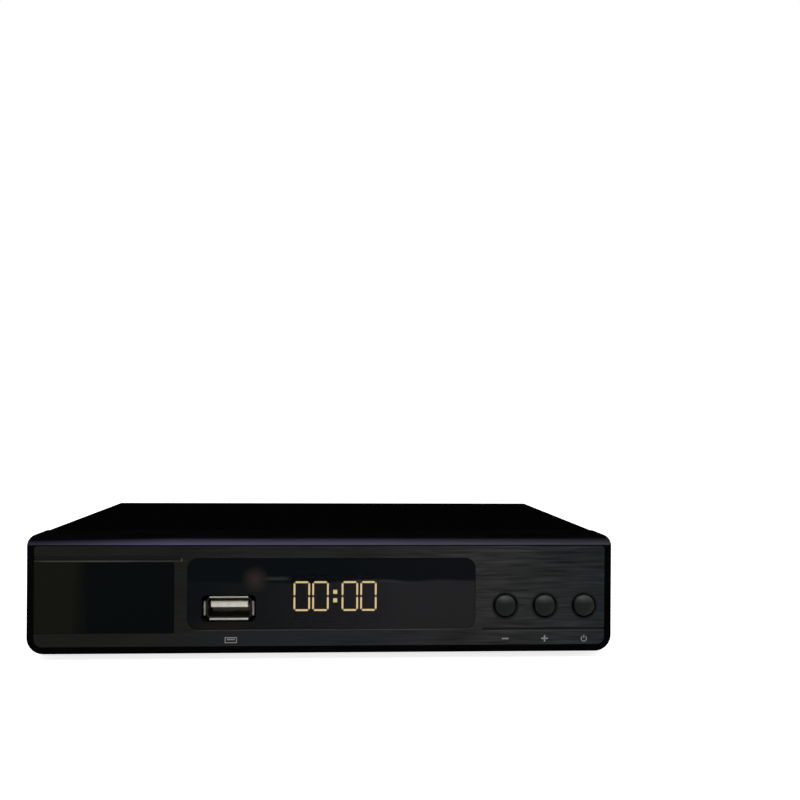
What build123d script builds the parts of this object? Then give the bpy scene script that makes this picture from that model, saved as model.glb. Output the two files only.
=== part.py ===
from build123d import *
from math import sqrt
import os

# A small satellite television receiver: a moulded front with three keys, a lit
# clock and a data socket, on a vented sheet-metal case with the aerial, picture,
# sound and power sockets in its rear panel.
#
# Frame: X to the right seen from the front, the front faces -Y, Z is up. The
# origin is under the middle of the whole receiver, on the surface it stands on.
# A "depth" is measured backwards from the front face of the bezel and a "height"
# upwards from the underside of the case; y_at and z_at turn them into Y and Z.

os.makedirs("parts", exist_ok=True)

# ---------------------------------------------------------------- the case
case_width = 175.0
case_depth = 110.0
case_height = 35.6
foot_height = 2.0
small_sides = 8  # small screws, their holes and plungers are prisms with this many sides
bore_sides = 16  # and so are the bores and cores of the sockets, and the capacitors
socket_reach = 9.0  # how far the aerial and sound sockets stand out at the rear
sheet = 0.8  # steel of the tray and the cover
slip = 0.1  # gap between pieces that are set into each other
bend = 1.0  # middle radius of the tray's bends
shoulder_bend = 2.1  # middle radius of the cover's long bends
cover_inset = 0.5  # the cover stands this far inside the bezel at each side
cover_drop = 0.4  # and this far below its top
shadow_gap = 0.3  # between the bezel's rear edge and the cover
side_flange_height = 12.0
side_flange_relief = 3.0  # the side flanges stop short of the bends at their ends
front_flange_height = 7.6
rear_lip_height = 7.5

# ---------------------------------------------------------------- bezel and face
bezel_depth = 12.0
bezel_face = 2.6  # front wall, with the recess of the face plate
bezel_wall = 2.0
bezel_top_corner = 3.5
bezel_bottom_corner = 5.0
bezel_front_round = 2.0
spigot_thickness = 1.4  # the spigot enters the cover behind the bezel's edge
spigot_length = 3.5
spigot_root = 2.0  # its length inside the bezel
spigot_clearance = 0.15
spigot_corner_gap = 4.0

plate_thickness = 0.6
plate_side_margin = 2.5
plate_top_margin = 3.3
plate_bottom_margin = 2.4
plate_top_corner = 1.0
plate_bottom_corner = 2.4

inlay_thickness = 0.3
inlay_right = -44.1
inlay_low = 6.4
inlay_high = 27.5

left_groove_end = -42.2
left_groove_height = 28.7
left_groove_width = 1.2
right_groove_start = 47.7
right_groove_height = 7.3
right_groove_width = 0.8
groove_depth = 0.3

window_left = -40.2
window_width = 85.7
window_low = 7.5
window_height = 21.0
window_corner = 3.0
window_thickness = 1.6
window_setback = 0.1
window_ledge = 1.5

# ---------------------------------------------------------------- keys and their switches
key_pitch = 12.0
key_margin = 6.3  # from the plate's right edge to the last key
key_height = 14.2
key_radius = 3.15
key_hole_radius = 3.7
key_rim = 0.35  # the cap's rim stands this far out of the face
key_dome = 1.05
key_dome_bands = (1.0, 0.75, 0.0)  # shares of the cap's radius, from rim to middle
key_flange_radius = 4.3
key_flange_thickness = 1.0
key_stop_gap = 0.1
key_stem_side = 3.0
sleeve_clearance = 0.08
sleeve_wall = 1.0
sleeve_length = 3.4

tact_side = 6.0
tact_height = 3.5
tact_stand = 1.2  # the plunger stands this far out of the switch
tact_cavity = 2.7
plunger_radius = 1.75
plunger_length = 2.8
plunger_clearance = 0.05

# ---------------------------------------------------------------- front board and display
front_board_depth = 11.0  # front face of the upright board
front_board_thickness = 1.2
front_board_left = -24.5
front_board_side_gap = 4.0
front_board_low = 10.5
front_board_top_gap = 3.0
# between these x its lower edge steps down past the main board's front edge
front_board_skirt = (-18.0, 70.0)
front_board_skirt_low = 5.0
front_boss_radius = 2.2
front_boss_inset = 4.0  # from the ends of the board
front_boss_drop = 2.4  # from its top and bottom edges
front_boss_middle_x = 30.0
front_screw_radius = 0.9
front_screw_length = 6.0
front_screw_head = 1.9

display_x = 3.5
display_height = 16.4
display_width = 26.0
display_tall = 13.0
display_body = 6.5
display_bevel = 0.3
digit_offsets = (-10.1, -4.45, 4.45, 10.1)
digit_width = 5.0
digit_tall = 9.0
stroke = 0.55
stroke_gap = 0.4
segment_thickness = 0.1
colon_dot = 1.2
colon_spread = 1.28

receiver_x = -19.9
receiver_height = 21.5
receiver_width = 5.0
receiver_tall = 7.0
receiver_body = 2.6
receiver_stand = 4.0  # its legs hold it this far in front of the board
receiver_lens_radius = 1.7
receiver_lens_tall = 3.6
receiver_lens_lift = 0.8
receiver_leg = 0.5
receiver_leg_pitch = 1.6
receiver_leg_lift = 0.4

# ---------------------------------------------------------------- data socket
data_port_x = -28.1
data_port_height = 13.66
data_port_inner_width = 12.5
data_port_inner_height = 5.12
data_port_wall = 0.3
data_port_corner = 0.7
data_port_front = 0.5  # depth of the flared lips' front edge
data_port_length = 13.8
data_port_lip_depth = 1.0
data_port_lip_root = 0.2
data_port_side_flare = 1.0
data_port_top_flare = 0.7
data_port_top_lip = 11.4
data_port_side_lip = 4.2
data_port_core_length = 5.0
data_port_tongue_width = 11.1
data_port_tongue_thickness = 1.84
data_port_tongue_lift = 0.86
data_port_tongue_setback = 0.8
data_port_tongue_bevel = 0.2
data_port_cutout_width = 15.9
data_port_cutout_height = 7.9
data_port_cutout_corner = 1.2
data_port_contact_width = 1.0
data_port_contact_length = 6.4
data_port_contact_thickness = 0.25
data_port_contact_pitch = 2.3
data_port_tab_width = 1.6
data_port_tab_depths = (5.0, 11.5)
data_port_tab_reach = 0.4  # below the main board
data_port_tab_slot = 0.5  # how much wider the board's slots are
data_port_board_gap = 1.0  # between the shell and the upright board

# ---------------------------------------------------------------- main board
board_height = 8.4  # underside of the main board
board_thickness = 1.6
board_front = 14.0
board_side_gap = 7.5
board_rear_gap = 0.9
board_tongue_width = 18.0
board_tongue_front = 4.0
standoff_inset = 4.5
standoff_rear_inset = 6.0
standoff_radius = 2.6

# ---------------------------------------------------------------- screws
screw_radius = 1.3
screw_clearance = 0.3
screw_length = 6.0
screw_head_radius = 2.6
screw_head_height = 1.3
case_screw_length = 5.0
wafer_head_height = 0.45  # the side screws' heads stay inside the bezel's width
bezel_screw_inset = 8.5
bezel_screw_height = 4.6
bezel_screw_head = 2.4
bezel_screw_head_height = 0.9
bezel_boss_radius = 2.8
rear_screw_inset = 12.0
side_screw_inset = 8.0

# ---------------------------------------------------------------- rear sockets
rear_socket_height = 17.0
panel_clearance = 0.3  # round every socket in the rear panel
aerial_x = (66.0, 48.0)
aerial_radius = 4.7625  # over a 3/8 inch thread
aerial_hex = 11.0
aerial_hex_stand = 0.7  # out of the rear panel
aerial_bore = 3.2
aerial_bore_depth = 8.0
insulator_setback = 0.7
tuner_x = 57.0
tuner_width = 30.0
tuner_length = 34.0
tuner_height = 13.0
tuner_gap = 1.4  # between the can and the rear panel
tuner_sheet = 0.5
tuner_wall_shift = 4.0
tuner_lid_skirt = 3.5
tuner_finger_pitch = 6.0
tuner_finger_gap = 0.8

jack_x = (-6.0, -20.0, -34.0)
jack_radius = 4.15
jack_wall = 0.4
jack_collar_radius = 5.2
jack_collar_stand = 0.6
jack_core_setback = 1.2
jack_sleeve_setback = 0.5
jack_bore = 1.6
jack_block_margin = 7.0
jack_block_rise = 6.0
jack_block_length = 10.0
block_stand = 0.3  # the bodies of the jacks and the inlet stand this far out of the panel

video_port_x = 22.0
video_port_inner_width = 14.0
video_port_inner_height = 4.55
video_port_side_low = -0.2  # the straight sides end this far from the middle
video_port_shoulder = (1.3, 0.6)  # in from the side and up from the floor
video_port_floor_inset = 2.0
video_port_wall = 0.4
video_port_length = 11.0
video_port_stand = 0.5  # out of the rear panel
video_port_core_length = 3.5
video_port_tongue_width = 11.2
video_port_tongue_thickness = 1.1
video_port_tongue_lift = 0.3
video_port_tongue_setback = 1.0

inlet_x = -66.0
inlet_width = 9.0
inlet_tall = 11.0
inlet_length = 14.0
inlet_bore = 3.15
inlet_bore_depth = 10.0
inlet_pin_radius = 1.0
inlet_pin_length = 9.2

# ---------------------------------------------------------------- pieces on the main board
processor_x = -5.0
processor_depth = 55.0
processor_side = 17.0
processor_thickness = 1.3
pad_inset = 1.0
pad_thickness = 0.5
sink_side = 22.0
sink_base = 2.0
sink_fin_height = 8.0
sink_fin = 1.0
sink_fin_count = 7
sink_fin_pitch = (sink_side - sink_fin) / (sink_fin_count - 1)

memory_place = (20.0, 52.0)
memory_size = (8.0, 13.0, 1.1)
flash_place = (-27.0, 48.0)
flash_size = (5.3, 5.3, 1.8)
crystal_place = (-27.0, 60.0)
crystal_size = (7.0, 5.0, 1.4)
regulator_places = ((-52.0, 46.0), (-52.0, 56.0))
regulator_size = (6.5, 3.5, 1.6)
inductor_places = ((-64.0, 48.0), (-64.0, 58.0))
inductor_side = 7.3
inductor_height = 3.6
inductor_bevel = 1.4
# x, distance from the rear panel's inside, radius and height of each can
capacitors = (
    (-52.0, 22.0, 4.0, 11.5),
    (-52.0, 34.0, 4.0, 11.5),
    (-64.0, 26.0, 3.15, 7.0),
    (34.0, 24.0, 3.15, 7.0),
)

ribbon_x = 26.0
ribbon_width = 10.0
ribbon_thickness = 0.9
ribbon_height = 22.0
ribbon_bend = 5.0
header_depth = 34.0
header_length = 5.5
header_thickness = 5.0
header_overlap = 3.0

# ---------------------------------------------------------------- feet and vents
foot_side = 11.0
foot_bevel = 0.6
foot_inset_x = 17.5
foot_inset_front = 22.0
foot_inset_rear = 14.0
side_vent_pitch = 5.5
side_vent_width = 2.2
side_vent_length = 14.0
side_vent_end_gap = 12.0
side_vent_lift = 5.0
bottom_vent_x = (-28.0, 28.0)
bottom_vent_columns = 7
bottom_vent_pitch = 6.5
bottom_vent_width = 2.6
bottom_vent_length = 24.0
bottom_vent_gap = 6.0

# ---------------------------------------------------------------- worked out from the above
key_stand = key_rim + key_dome
tip_depth = case_depth + socket_reach
front_y = (key_stand - tip_depth) / 2
cover_half = case_width / 2 - cover_inset
cover_top = case_height - cover_drop
cover_front = bezel_depth + shadow_gap
lip_inside = case_depth - sheet  # inner face of the cover's rear lip
panel_inside = lip_inside - sheet  # inner face of the rear panel
panel_top = cover_top - sheet / 2 - bend - slip  # below the bend of the cover's lip
tray_half = cover_half - sheet - slip
tray_front = bezel_depth + 2 * slip
flange_front = tray_front + side_flange_relief
flange_rear = panel_inside - side_flange_relief

plate_half = case_width / 2 - plate_side_margin
plate_high = case_height - plate_top_margin
inlay_middle = ((inlay_right - plate_half) / 2, foot_height + (inlay_low + inlay_high) / 2)
inlay_width = plate_half + inlay_right
inlay_tall = inlay_high - inlay_low
window_x = window_left + window_width / 2
window_z = foot_height + window_low + window_height / 2

key_z = foot_height + key_height
key_x = [plate_half - key_margin - key_pitch * place for place in (2, 1, 0)]
key_points = [(x, key_z) for x in key_x]
flange_depth = bezel_face + key_stop_gap
plunger_depth = front_board_depth - tact_height - tact_stand

front_board_back = front_board_depth + front_board_thickness
front_board_right = case_width / 2 - front_board_side_gap
front_board_high = case_height - front_board_top_gap
front_boss_high = foot_height + front_board_high - front_boss_drop
front_boss_low = foot_height + front_board_low + front_boss_drop
front_boss_points = [
    (front_board_left + front_boss_inset, front_boss_high),
    (front_boss_middle_x, front_boss_high),
    (front_board_right - front_boss_inset, front_boss_high),
    (window_left + window_width + front_boss_drop, front_boss_low),
]
bezel_screw_points = [
    (side * (case_width / 2 - bezel_screw_inset), foot_height + bezel_screw_height)
    for side in (-1, 1)
]

data_port_outer_width = data_port_inner_width + 2 * data_port_wall
data_port_outer_height = data_port_inner_height + 2 * data_port_wall
data_port_tube_front = data_port_front + data_port_lip_depth
data_port_rear = data_port_front + data_port_length
data_port_core_front = data_port_rear - data_port_core_length
data_port_core_width = data_port_inner_width - 2 * (data_port_corner - data_port_wall)
data_port_tabs = [
    (data_port_x + side * (data_port_outer_width - data_port_wall) / 2, depth)
    for side in (-1, 1)
    for depth in data_port_tab_depths
]

board_top = board_height + board_thickness
block_top = rear_socket_height + jack_block_rise
block_x = sum(jack_x) / len(jack_x)
block_z = foot_height + (board_top + block_top) / 2
block_width = jack_x[0] - jack_x[-1] + 2 * jack_block_margin
board_half = case_width / 2 - board_side_gap
board_rear = panel_inside - board_rear_gap
standoffs = [
    (side * (board_half - standoff_inset), depth)
    for side in (-1, 1)
    for depth in (board_front + standoff_inset, board_rear - standoff_rear_inset)
]
socket_z = foot_height + rear_socket_height
aerial_points = [(x, socket_z) for x in aerial_x]
jack_points = [(x, socket_z) for x in jack_x]
tuner_rear = panel_inside - tuner_gap
jack_face = lip_inside + block_stand
video_port_z = foot_height + board_top + video_port_inner_height / 2 + video_port_wall
video_port_rear = lip_inside + video_port_stand
inlet_z = foot_height + board_top + inlet_tall / 2
rear_screw_z = foot_height + cover_top - (rear_lip_height + bend) / 2
rear_screw_x = (rear_screw_inset - case_width / 2, 0.0, case_width / 2 - rear_screw_inset)
rear_screw_points = [(x, rear_screw_z) for x in rear_screw_x]

# Box and Cylinder stand on their plane with UP.
UP = (Align.CENTER, Align.CENTER, Align.MIN)


def y_at(depth):
    """Y of a depth behind the front face."""
    return front_y + depth


def z_at(height):
    """Z of a height above the underside of the case."""
    return foot_height + height


def upright(depth):
    """A plane parallel to the front face; a negative extrude goes backwards."""
    return Plane.XZ.offset(-y_at(depth))


def level(height):
    """A horizontal plane at a height above the underside of the case."""
    return Plane.XY.offset(z_at(height))


def turning(x, depth, z):
    """A plane whose X is a radius and whose Y is the axis of a turned piece."""
    return Plane((x, y_at(depth), z), x_dir=(1, 0, 0), z_dir=(0, 0, 1))


def rearward(x, depth, z):
    """A plane that faces backwards, for what is screwed in from the rear."""
    return Plane((x, y_at(depth), z), x_dir=(1, 0, 0), z_dir=(0, 1, 0))


def upward(x, depth, height):
    """A plane that faces up, for what stands on a board."""
    return Plane((x, y_at(depth), z_at(height)), x_dir=(1, 0, 0), z_dir=(0, 0, 1))


def keep(piece, name):
    """Labels a finished piece and writes it as its own file."""
    piece.part.label = name
    export_step(piece.part, f"parts/{name}.step")


def rounded_panel(half_width, low, high, top_corner, bottom_corner):
    """Adds an upright rectangle with its own top and bottom corner radii."""
    with Locations((0, z_at((low + high) / 2))):
        Rectangle(2 * half_width, high - low)
    fillet(vertices().group_by(Axis.Y)[-1], top_corner)
    fillet(vertices().group_by(Axis.Y)[0], bottom_corner)


def window_outline(grow):
    """Adds the display window's outline, grown or shrunk all round."""
    with Locations((window_x, window_z)):
        RectangleRounded(
            window_width + 2 * grow, window_height + 2 * grow, window_corner + grow
        )


def circles(points, radius, mode=Mode.ADD):
    """Adds or cuts a circle at each point of the sketch."""
    with Locations(*points):
        Circle(radius, mode=mode)


def small_rounds(points, radius, mode=Mode.ADD, sides=small_sides):
    """Adds or cuts a polygon that stands for a small circle at each point."""
    with Locations(*points):
        RegularPolygon(radius, sides, major_radius=False, mode=mode)


def screws(seats, head_radius, head_height, shank_radius, shank_length):
    """Adds screws whose heads stand on the seats and whose shanks go below them."""
    with BuildSketch(*seats) as heads:
        small_rounds([(0, 0)], head_radius)
    extrude(heads.sketch, amount=head_height)
    with BuildSketch(*seats) as shanks:
        small_rounds([(0, 0)], shank_radius)
    extrude(shanks.sketch, amount=-shank_length)


def chip(place, size, height=board_top):
    """Adds a flat block that stands on the main board at a place."""
    with Locations(upward(*place, height)):
        Box(*size, align=UP)


# ================================================================ front bezel
# One moulding, open at the rear: the recess of the face plate, the window's
# ledge, guide sleeves for the keys, bosses for the front board and for the
# tray's screws, and a spigot that enters the cover.
with BuildPart() as front_bezel:
    with BuildSketch(upright(0)):
        rounded_panel(case_width / 2, 0, case_height, bezel_top_corner, bezel_bottom_corner)
    extrude(amount=-bezel_depth)
    fillet(faces().sort_by(Axis.Y)[0].edges(), bezel_front_round)
    with BuildSketch(upright(bezel_face)):
        rounded_panel(
            case_width / 2 - bezel_wall,
            bezel_wall,
            case_height - bezel_wall,
            bezel_top_corner - bezel_wall,
            bezel_bottom_corner - bezel_wall,
        )
    extrude(amount=-bezel_depth, mode=Mode.SUBTRACT)

    # spigot: a rail under the cover's top and one inside each of its sides
    rail_half = cover_half - sheet - spigot_clearance
    rail_high = cover_top - sheet - spigot_clearance
    rail_low = side_flange_height + spigot_root
    with BuildSketch(upright(bezel_depth - spigot_root)):
        with Locations((0, z_at(rail_high - spigot_thickness / 2))):
            Rectangle(2 * (rail_half - spigot_corner_gap), spigot_thickness)
        for side in (-1, 1):
            middle = z_at((rail_low + rail_high - spigot_corner_gap) / 2)
            with Locations((side * (rail_half - spigot_thickness / 2), middle)):
                Rectangle(spigot_thickness, rail_high - spigot_corner_gap - rail_low)
    extrude(amount=-(spigot_root + spigot_length))

    # recess of the face plate, seat of the window and its opening
    with BuildSketch(upright(0)):
        rounded_panel(
            plate_half, plate_bottom_margin, plate_high, plate_top_corner, plate_bottom_corner
        )
    extrude(amount=-plate_thickness, mode=Mode.SUBTRACT)
    with BuildSketch(upright(0)):
        window_outline(slip)
    extrude(amount=-(window_setback + window_thickness), mode=Mode.SUBTRACT)
    with BuildSketch(upright(0)):
        window_outline(-window_ledge)
    extrude(amount=-bezel_face, mode=Mode.SUBTRACT)

    # bosses for the front board and for the tray's screws
    with BuildSketch(upright(bezel_face)):
        small_rounds(front_boss_points, front_boss_radius)
    extrude(amount=-(front_board_depth - bezel_face))
    with BuildSketch(upright(front_board_depth - front_screw_length)):
        small_rounds(front_boss_points, front_screw_radius)
    extrude(amount=-front_screw_length, mode=Mode.SUBTRACT)
    with BuildSketch(upright(bezel_face)):
        small_rounds(bezel_screw_points, bezel_boss_radius)
    extrude(amount=-(tray_front - slip - bezel_face))
    with BuildSketch(upright(bezel_depth - screw_length)):
        small_rounds(bezel_screw_points, screw_radius)
    extrude(amount=-(screw_length + slip), mode=Mode.SUBTRACT)

    # guide sleeves of the keys, and the holes that their caps come through
    with BuildSketch(upright(bezel_face)):
        small_rounds(key_points, key_flange_radius + sleeve_clearance + sleeve_wall)
    extrude(amount=-sleeve_length)
    with BuildSketch(upright(bezel_face)):
        circles(key_points, key_flange_radius + sleeve_clearance)
    extrude(amount=-sleeve_length, mode=Mode.SUBTRACT)
    with BuildSketch(upright(0)):
        circles(key_points, key_hole_radius)
    extrude(amount=-bezel_face, mode=Mode.SUBTRACT)
keep(front_bezel, "front_bezel")

# ================================================================ face plate
# Thin brushed plate, flush in the bezel, with a shallow line at each end.
with BuildPart() as face_plate:
    with BuildSketch(upright(0)):
        rounded_panel(
            plate_half - slip,
            plate_bottom_margin + slip,
            plate_high - slip,
            plate_top_corner - slip,
            plate_bottom_corner - slip,
        )
        with BuildSketch(mode=Mode.SUBTRACT):
            window_outline(slip)
            circles(key_points, key_hole_radius)
    extrude(amount=-plate_thickness)
    with BuildSketch(upright(0)):
        with Locations(inlay_middle):
            Rectangle(inlay_width, inlay_tall)
    extrude(amount=-inlay_thickness, mode=Mode.SUBTRACT)
    with BuildSketch(upright(0)):
        with Locations(((left_groove_end - plate_half) / 2, z_at(left_groove_height))):
            Rectangle(plate_half + left_groove_end, left_groove_width)
        with Locations(((right_groove_start + plate_half) / 2, z_at(right_groove_height))):
            Rectangle(plate_half - right_groove_start, right_groove_width)
    extrude(amount=-groove_depth, mode=Mode.SUBTRACT)
keep(face_plate, "face_plate")

# Bare gloss panel at the left end of the face plate.
with BuildPart() as inlay_plate:
    with BuildSketch(upright(0)):
        with Locations(inlay_middle):
            Rectangle(inlay_width - 2 * slip, inlay_tall - 2 * slip)
    extrude(amount=-inlay_thickness)
keep(inlay_plate, "inlay_plate")

# Smoked window, with the cut-out that the data socket's lips stand in.
with BuildPart() as display_window:
    with BuildSketch(upright(window_setback)):
        window_outline(0)
        with Locations((data_port_x, z_at(data_port_height))):
            RectangleRounded(
                data_port_cutout_width,
                data_port_cutout_height,
                data_port_cutout_corner,
                mode=Mode.SUBTRACT,
            )
    extrude(amount=-window_thickness)
keep(display_window, "display_window")


# ================================================================ keys and switches
def make_key(x, name):
    """A domed key: cap, trapped flange, and the stem that meets the plunger."""
    axis_plane = turning(x, 0, key_z)
    flange_back = flange_depth + key_flange_thickness
    ball = (key_radius**2 + key_dome**2) / (2 * key_dome)
    crown = [
        (share * key_radius, ball - key_stand - sqrt(ball**2 - (share * key_radius) ** 2))
        for share in key_dome_bands
    ]
    with BuildPart() as key:
        with BuildSketch(axis_plane):
            with BuildLine():
                Polyline(
                    (0, flange_back),
                    (key_flange_radius, flange_back),
                    (key_flange_radius, flange_depth),
                    (key_radius, flange_depth),
                    *crown,
                    close=True,
                )
            make_face()
        revolve(axis=Axis(axis_plane.origin, axis_plane.y_dir))
        with Locations(rearward(x, flange_back, key_z)):
            Box(key_stem_side, key_stem_side, plunger_depth - flange_back, align=UP)
    keep(key, name)


def make_plunger(x, name):
    """A tact switch's plunger: its foot is in the body, its end meets the stem."""
    with BuildPart() as plunger:
        with BuildSketch(rearward(x, plunger_depth, key_z)):
            small_rounds([(0, 0)], plunger_radius)
        extrude(amount=plunger_length)
    keep(plunger, name)


for x, name in zip(key_x, ("channel_down", "channel_up", "power")):
    make_key(x, f"{name}_key")
    make_plunger(x, f"{name}_plunger")

with BuildPart() as tact_switch_bodies:
    with BuildSketch(upright(front_board_depth)):
        with Locations(*key_points):
            Rectangle(tact_side, tact_side)
    extrude(amount=tact_height)
    with BuildSketch(upright(front_board_depth - tact_height)):
        small_rounds(key_points, plunger_radius + plunger_clearance)
    extrude(amount=-tact_cavity, mode=Mode.SUBTRACT)
keep(tact_switch_bodies, "tact_switch_bodies")

# ================================================================ front board
with BuildPart() as front_board:
    with BuildSketch(upright(front_board_depth)):
        corner = (front_board_left, z_at(front_board_low))
        with Locations(corner):
            Rectangle(
                front_board_right - front_board_left,
                front_board_high - front_board_low,
                align=(Align.MIN, Align.MIN),
            )
        skirt_left, skirt_right = front_board_skirt
        with Locations((skirt_left, z_at(front_board_skirt_low))):
            Rectangle(
                skirt_right - skirt_left,
                front_board_high - front_board_skirt_low,
                align=(Align.MIN, Align.MIN),
            )
        # the lower left corner makes room for the data socket
        with Locations((data_port_x, z_at(data_port_height))):
            Rectangle(
                data_port_outer_width + 2 * data_port_board_gap,
                data_port_outer_height + 2 * data_port_board_gap,
                mode=Mode.SUBTRACT,
            )
        small_rounds(front_boss_points, front_screw_radius + screw_clearance, Mode.SUBTRACT)
    extrude(amount=-front_board_thickness)
keep(front_board, "front_board")

with BuildPart() as front_board_screws:
    screws(
        [rearward(x, front_board_back, z) for x, z in front_boss_points],
        front_screw_head,
        screw_head_height,
        front_screw_radius,
        front_screw_length,
    )
keep(front_board_screws, "front_board_screws")


# ---------------------------------------------------------------- display
def bar(length, rotation):
    """Adds one segment of a digit: a bar with pointed ends."""
    half = length / 2
    point = stroke / 2
    Polygon(
        (-half, 0),
        (point - half, -point),
        (half - point, -point),
        (half, 0),
        (half - point, point),
        (point - half, point),
        rotation=rotation,
    )


display_z = z_at(display_height)
digit_points = [(display_x + offset, display_z) for offset in digit_offsets]
bar_reach = (digit_width - stroke) / 2
bar_rise = (digit_tall - stroke) / 2


def lit_bars():
    """Adds the outer bars of every digit and the two dots of the colon."""
    for x, z in digit_points:
        with Locations((x, z - bar_rise), (x, z + bar_rise)):
            bar(2 * bar_reach - stroke_gap, 0)
        with Locations((x, z)):
            with GridLocations(2 * bar_reach, bar_rise, 2, 2):
                bar(bar_rise - stroke_gap, 90)
    with Locations((display_x, display_z - colon_spread), (display_x, display_z + colon_spread)):
        Rectangle(colon_dot, colon_dot)


def middle_bars():
    """Adds the unlit middle bar of every digit."""
    with Locations(*digit_points):
        bar(2 * bar_reach - stroke_gap, 0)


display_face = front_board_depth - display_body
with BuildPart() as display_housing:
    with BuildSketch(upright(front_board_depth)):
        with Locations((display_x, display_z)):
            Rectangle(display_width, display_tall)
    extrude(amount=display_body)
    chamfer(faces().sort_by(Axis.Y)[0].edges(), display_bevel)
keep(display_housing, "display_housing")

with BuildPart() as lit_segments:
    with BuildSketch(upright(display_face)):
        lit_bars()
    extrude(amount=segment_thickness)
keep(lit_segments, "lit_segments")

with BuildPart() as unlit_segments:
    with BuildSketch(upright(display_face)):
        middle_bars()
    extrude(amount=segment_thickness)
keep(unlit_segments, "unlit_segments")

# ---------------------------------------------------------------- infra-red receiver
receiver_back = front_board_depth - receiver_stand
with BuildPart() as remote_receiver:
    with BuildSketch(upright(receiver_back)):
        with Locations((receiver_x, z_at(receiver_height))):
            Rectangle(receiver_width, receiver_tall)
    extrude(amount=receiver_body)
    lens_z = z_at(receiver_height + receiver_lens_lift)
    with Locations((receiver_x, y_at(receiver_back - receiver_body), lens_z)):
        Cylinder(receiver_lens_radius, receiver_lens_tall)
keep(remote_receiver, "remote_receiver")

with BuildPart() as receiver_legs:
    leg_z = z_at(receiver_height - receiver_tall / 2 + receiver_leg_lift)
    with Locations(rearward(receiver_x, receiver_back, leg_z)):
        with GridLocations(receiver_leg_pitch, 0, 3, 1):
            Box(receiver_leg, receiver_leg, receiver_stand, align=UP)
keep(receiver_legs, "receiver_legs")

# ================================================================ data socket
with BuildPart() as data_port_shell:
    with BuildSketch(upright(data_port_tube_front)):
        with Locations((data_port_x, z_at(data_port_height))):
            RectangleRounded(data_port_outer_width, data_port_outer_height, data_port_corner)
            RectangleRounded(
                data_port_inner_width,
                data_port_inner_height,
                data_port_corner - data_port_wall,
                mode=Mode.SUBTRACT,
            )
    extrude(amount=-(data_port_rear - data_port_tube_front))
    # flared lips above and below the mouth
    lip_root = y_at(data_port_tube_front + data_port_lip_root)
    lip_tip = y_at(data_port_front)
    with BuildSketch(Plane.YZ.offset(data_port_x)):
        for side in (-1, 1):
            near = side * (data_port_inner_height + data_port_wall) / 2
            far = near + side * data_port_top_flare
            with BuildLine():
                Line(
                    (lip_root, z_at(data_port_height + near)),
                    (lip_tip, z_at(data_port_height + far)),
                )
            trace(line_width=data_port_wall)
    extrude(amount=data_port_top_lip / 2, both=True)
    # flared lips at its two ends
    with BuildSketch(level(data_port_height)):
        for side in (-1, 1):
            near = side * (data_port_inner_width + data_port_wall) / 2
            far = near + side * data_port_side_flare
            with BuildLine():
                Line((data_port_x + near, lip_root), (data_port_x + far, lip_tip))
            trace(line_width=data_port_wall)
    extrude(amount=data_port_side_lip / 2, both=True)
    # tabs that pass through the main board
    tab_low = board_height - data_port_tab_reach
    with Locations(*[upward(*place, tab_low) for place in data_port_tabs]):
        Box(data_port_wall, data_port_tab_width, data_port_height - board_height, align=UP)
keep(data_port_shell, "data_port_shell")

with BuildPart() as data_port_tongue:
    with BuildSketch(upright(data_port_core_front)):
        with Locations((data_port_x, z_at(data_port_height))):
            Rectangle(data_port_core_width, data_port_inner_height)
    extrude(amount=-data_port_core_length)
    with BuildSketch(upright(data_port_core_front)):
        with Locations((data_port_x, z_at(data_port_height + data_port_tongue_lift))):
            Rectangle(data_port_tongue_width, data_port_tongue_thickness)
    extrude(amount=data_port_core_front - data_port_tube_front - data_port_tongue_setback)
    chamfer(faces().sort_by(Axis.Y)[0].edges(), data_port_tongue_bevel)
keep(data_port_tongue, "data_port_tongue")

with BuildPart() as data_port_contacts:
    tongue_low = data_port_height + data_port_tongue_lift - data_port_tongue_thickness / 2
    with BuildSketch(level(tongue_low)):
        with Locations((data_port_x, y_at(data_port_core_front - data_port_contact_length / 2))):
            with GridLocations(data_port_contact_pitch, 0, 4, 1):
                Rectangle(data_port_contact_width, data_port_contact_length)
    extrude(amount=-data_port_contact_thickness)
keep(data_port_contacts, "data_port_contacts")


# ================================================================ chassis tray
def bent_strip(*corners):
    """Adds a strip of sheet that runs through the corners, with rounded bends."""
    with BuildLine(Plane.XY) as path:
        FilletPolyline(*corners, radius=bend)
    trace(path.edges(), line_width=sheet)


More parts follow.
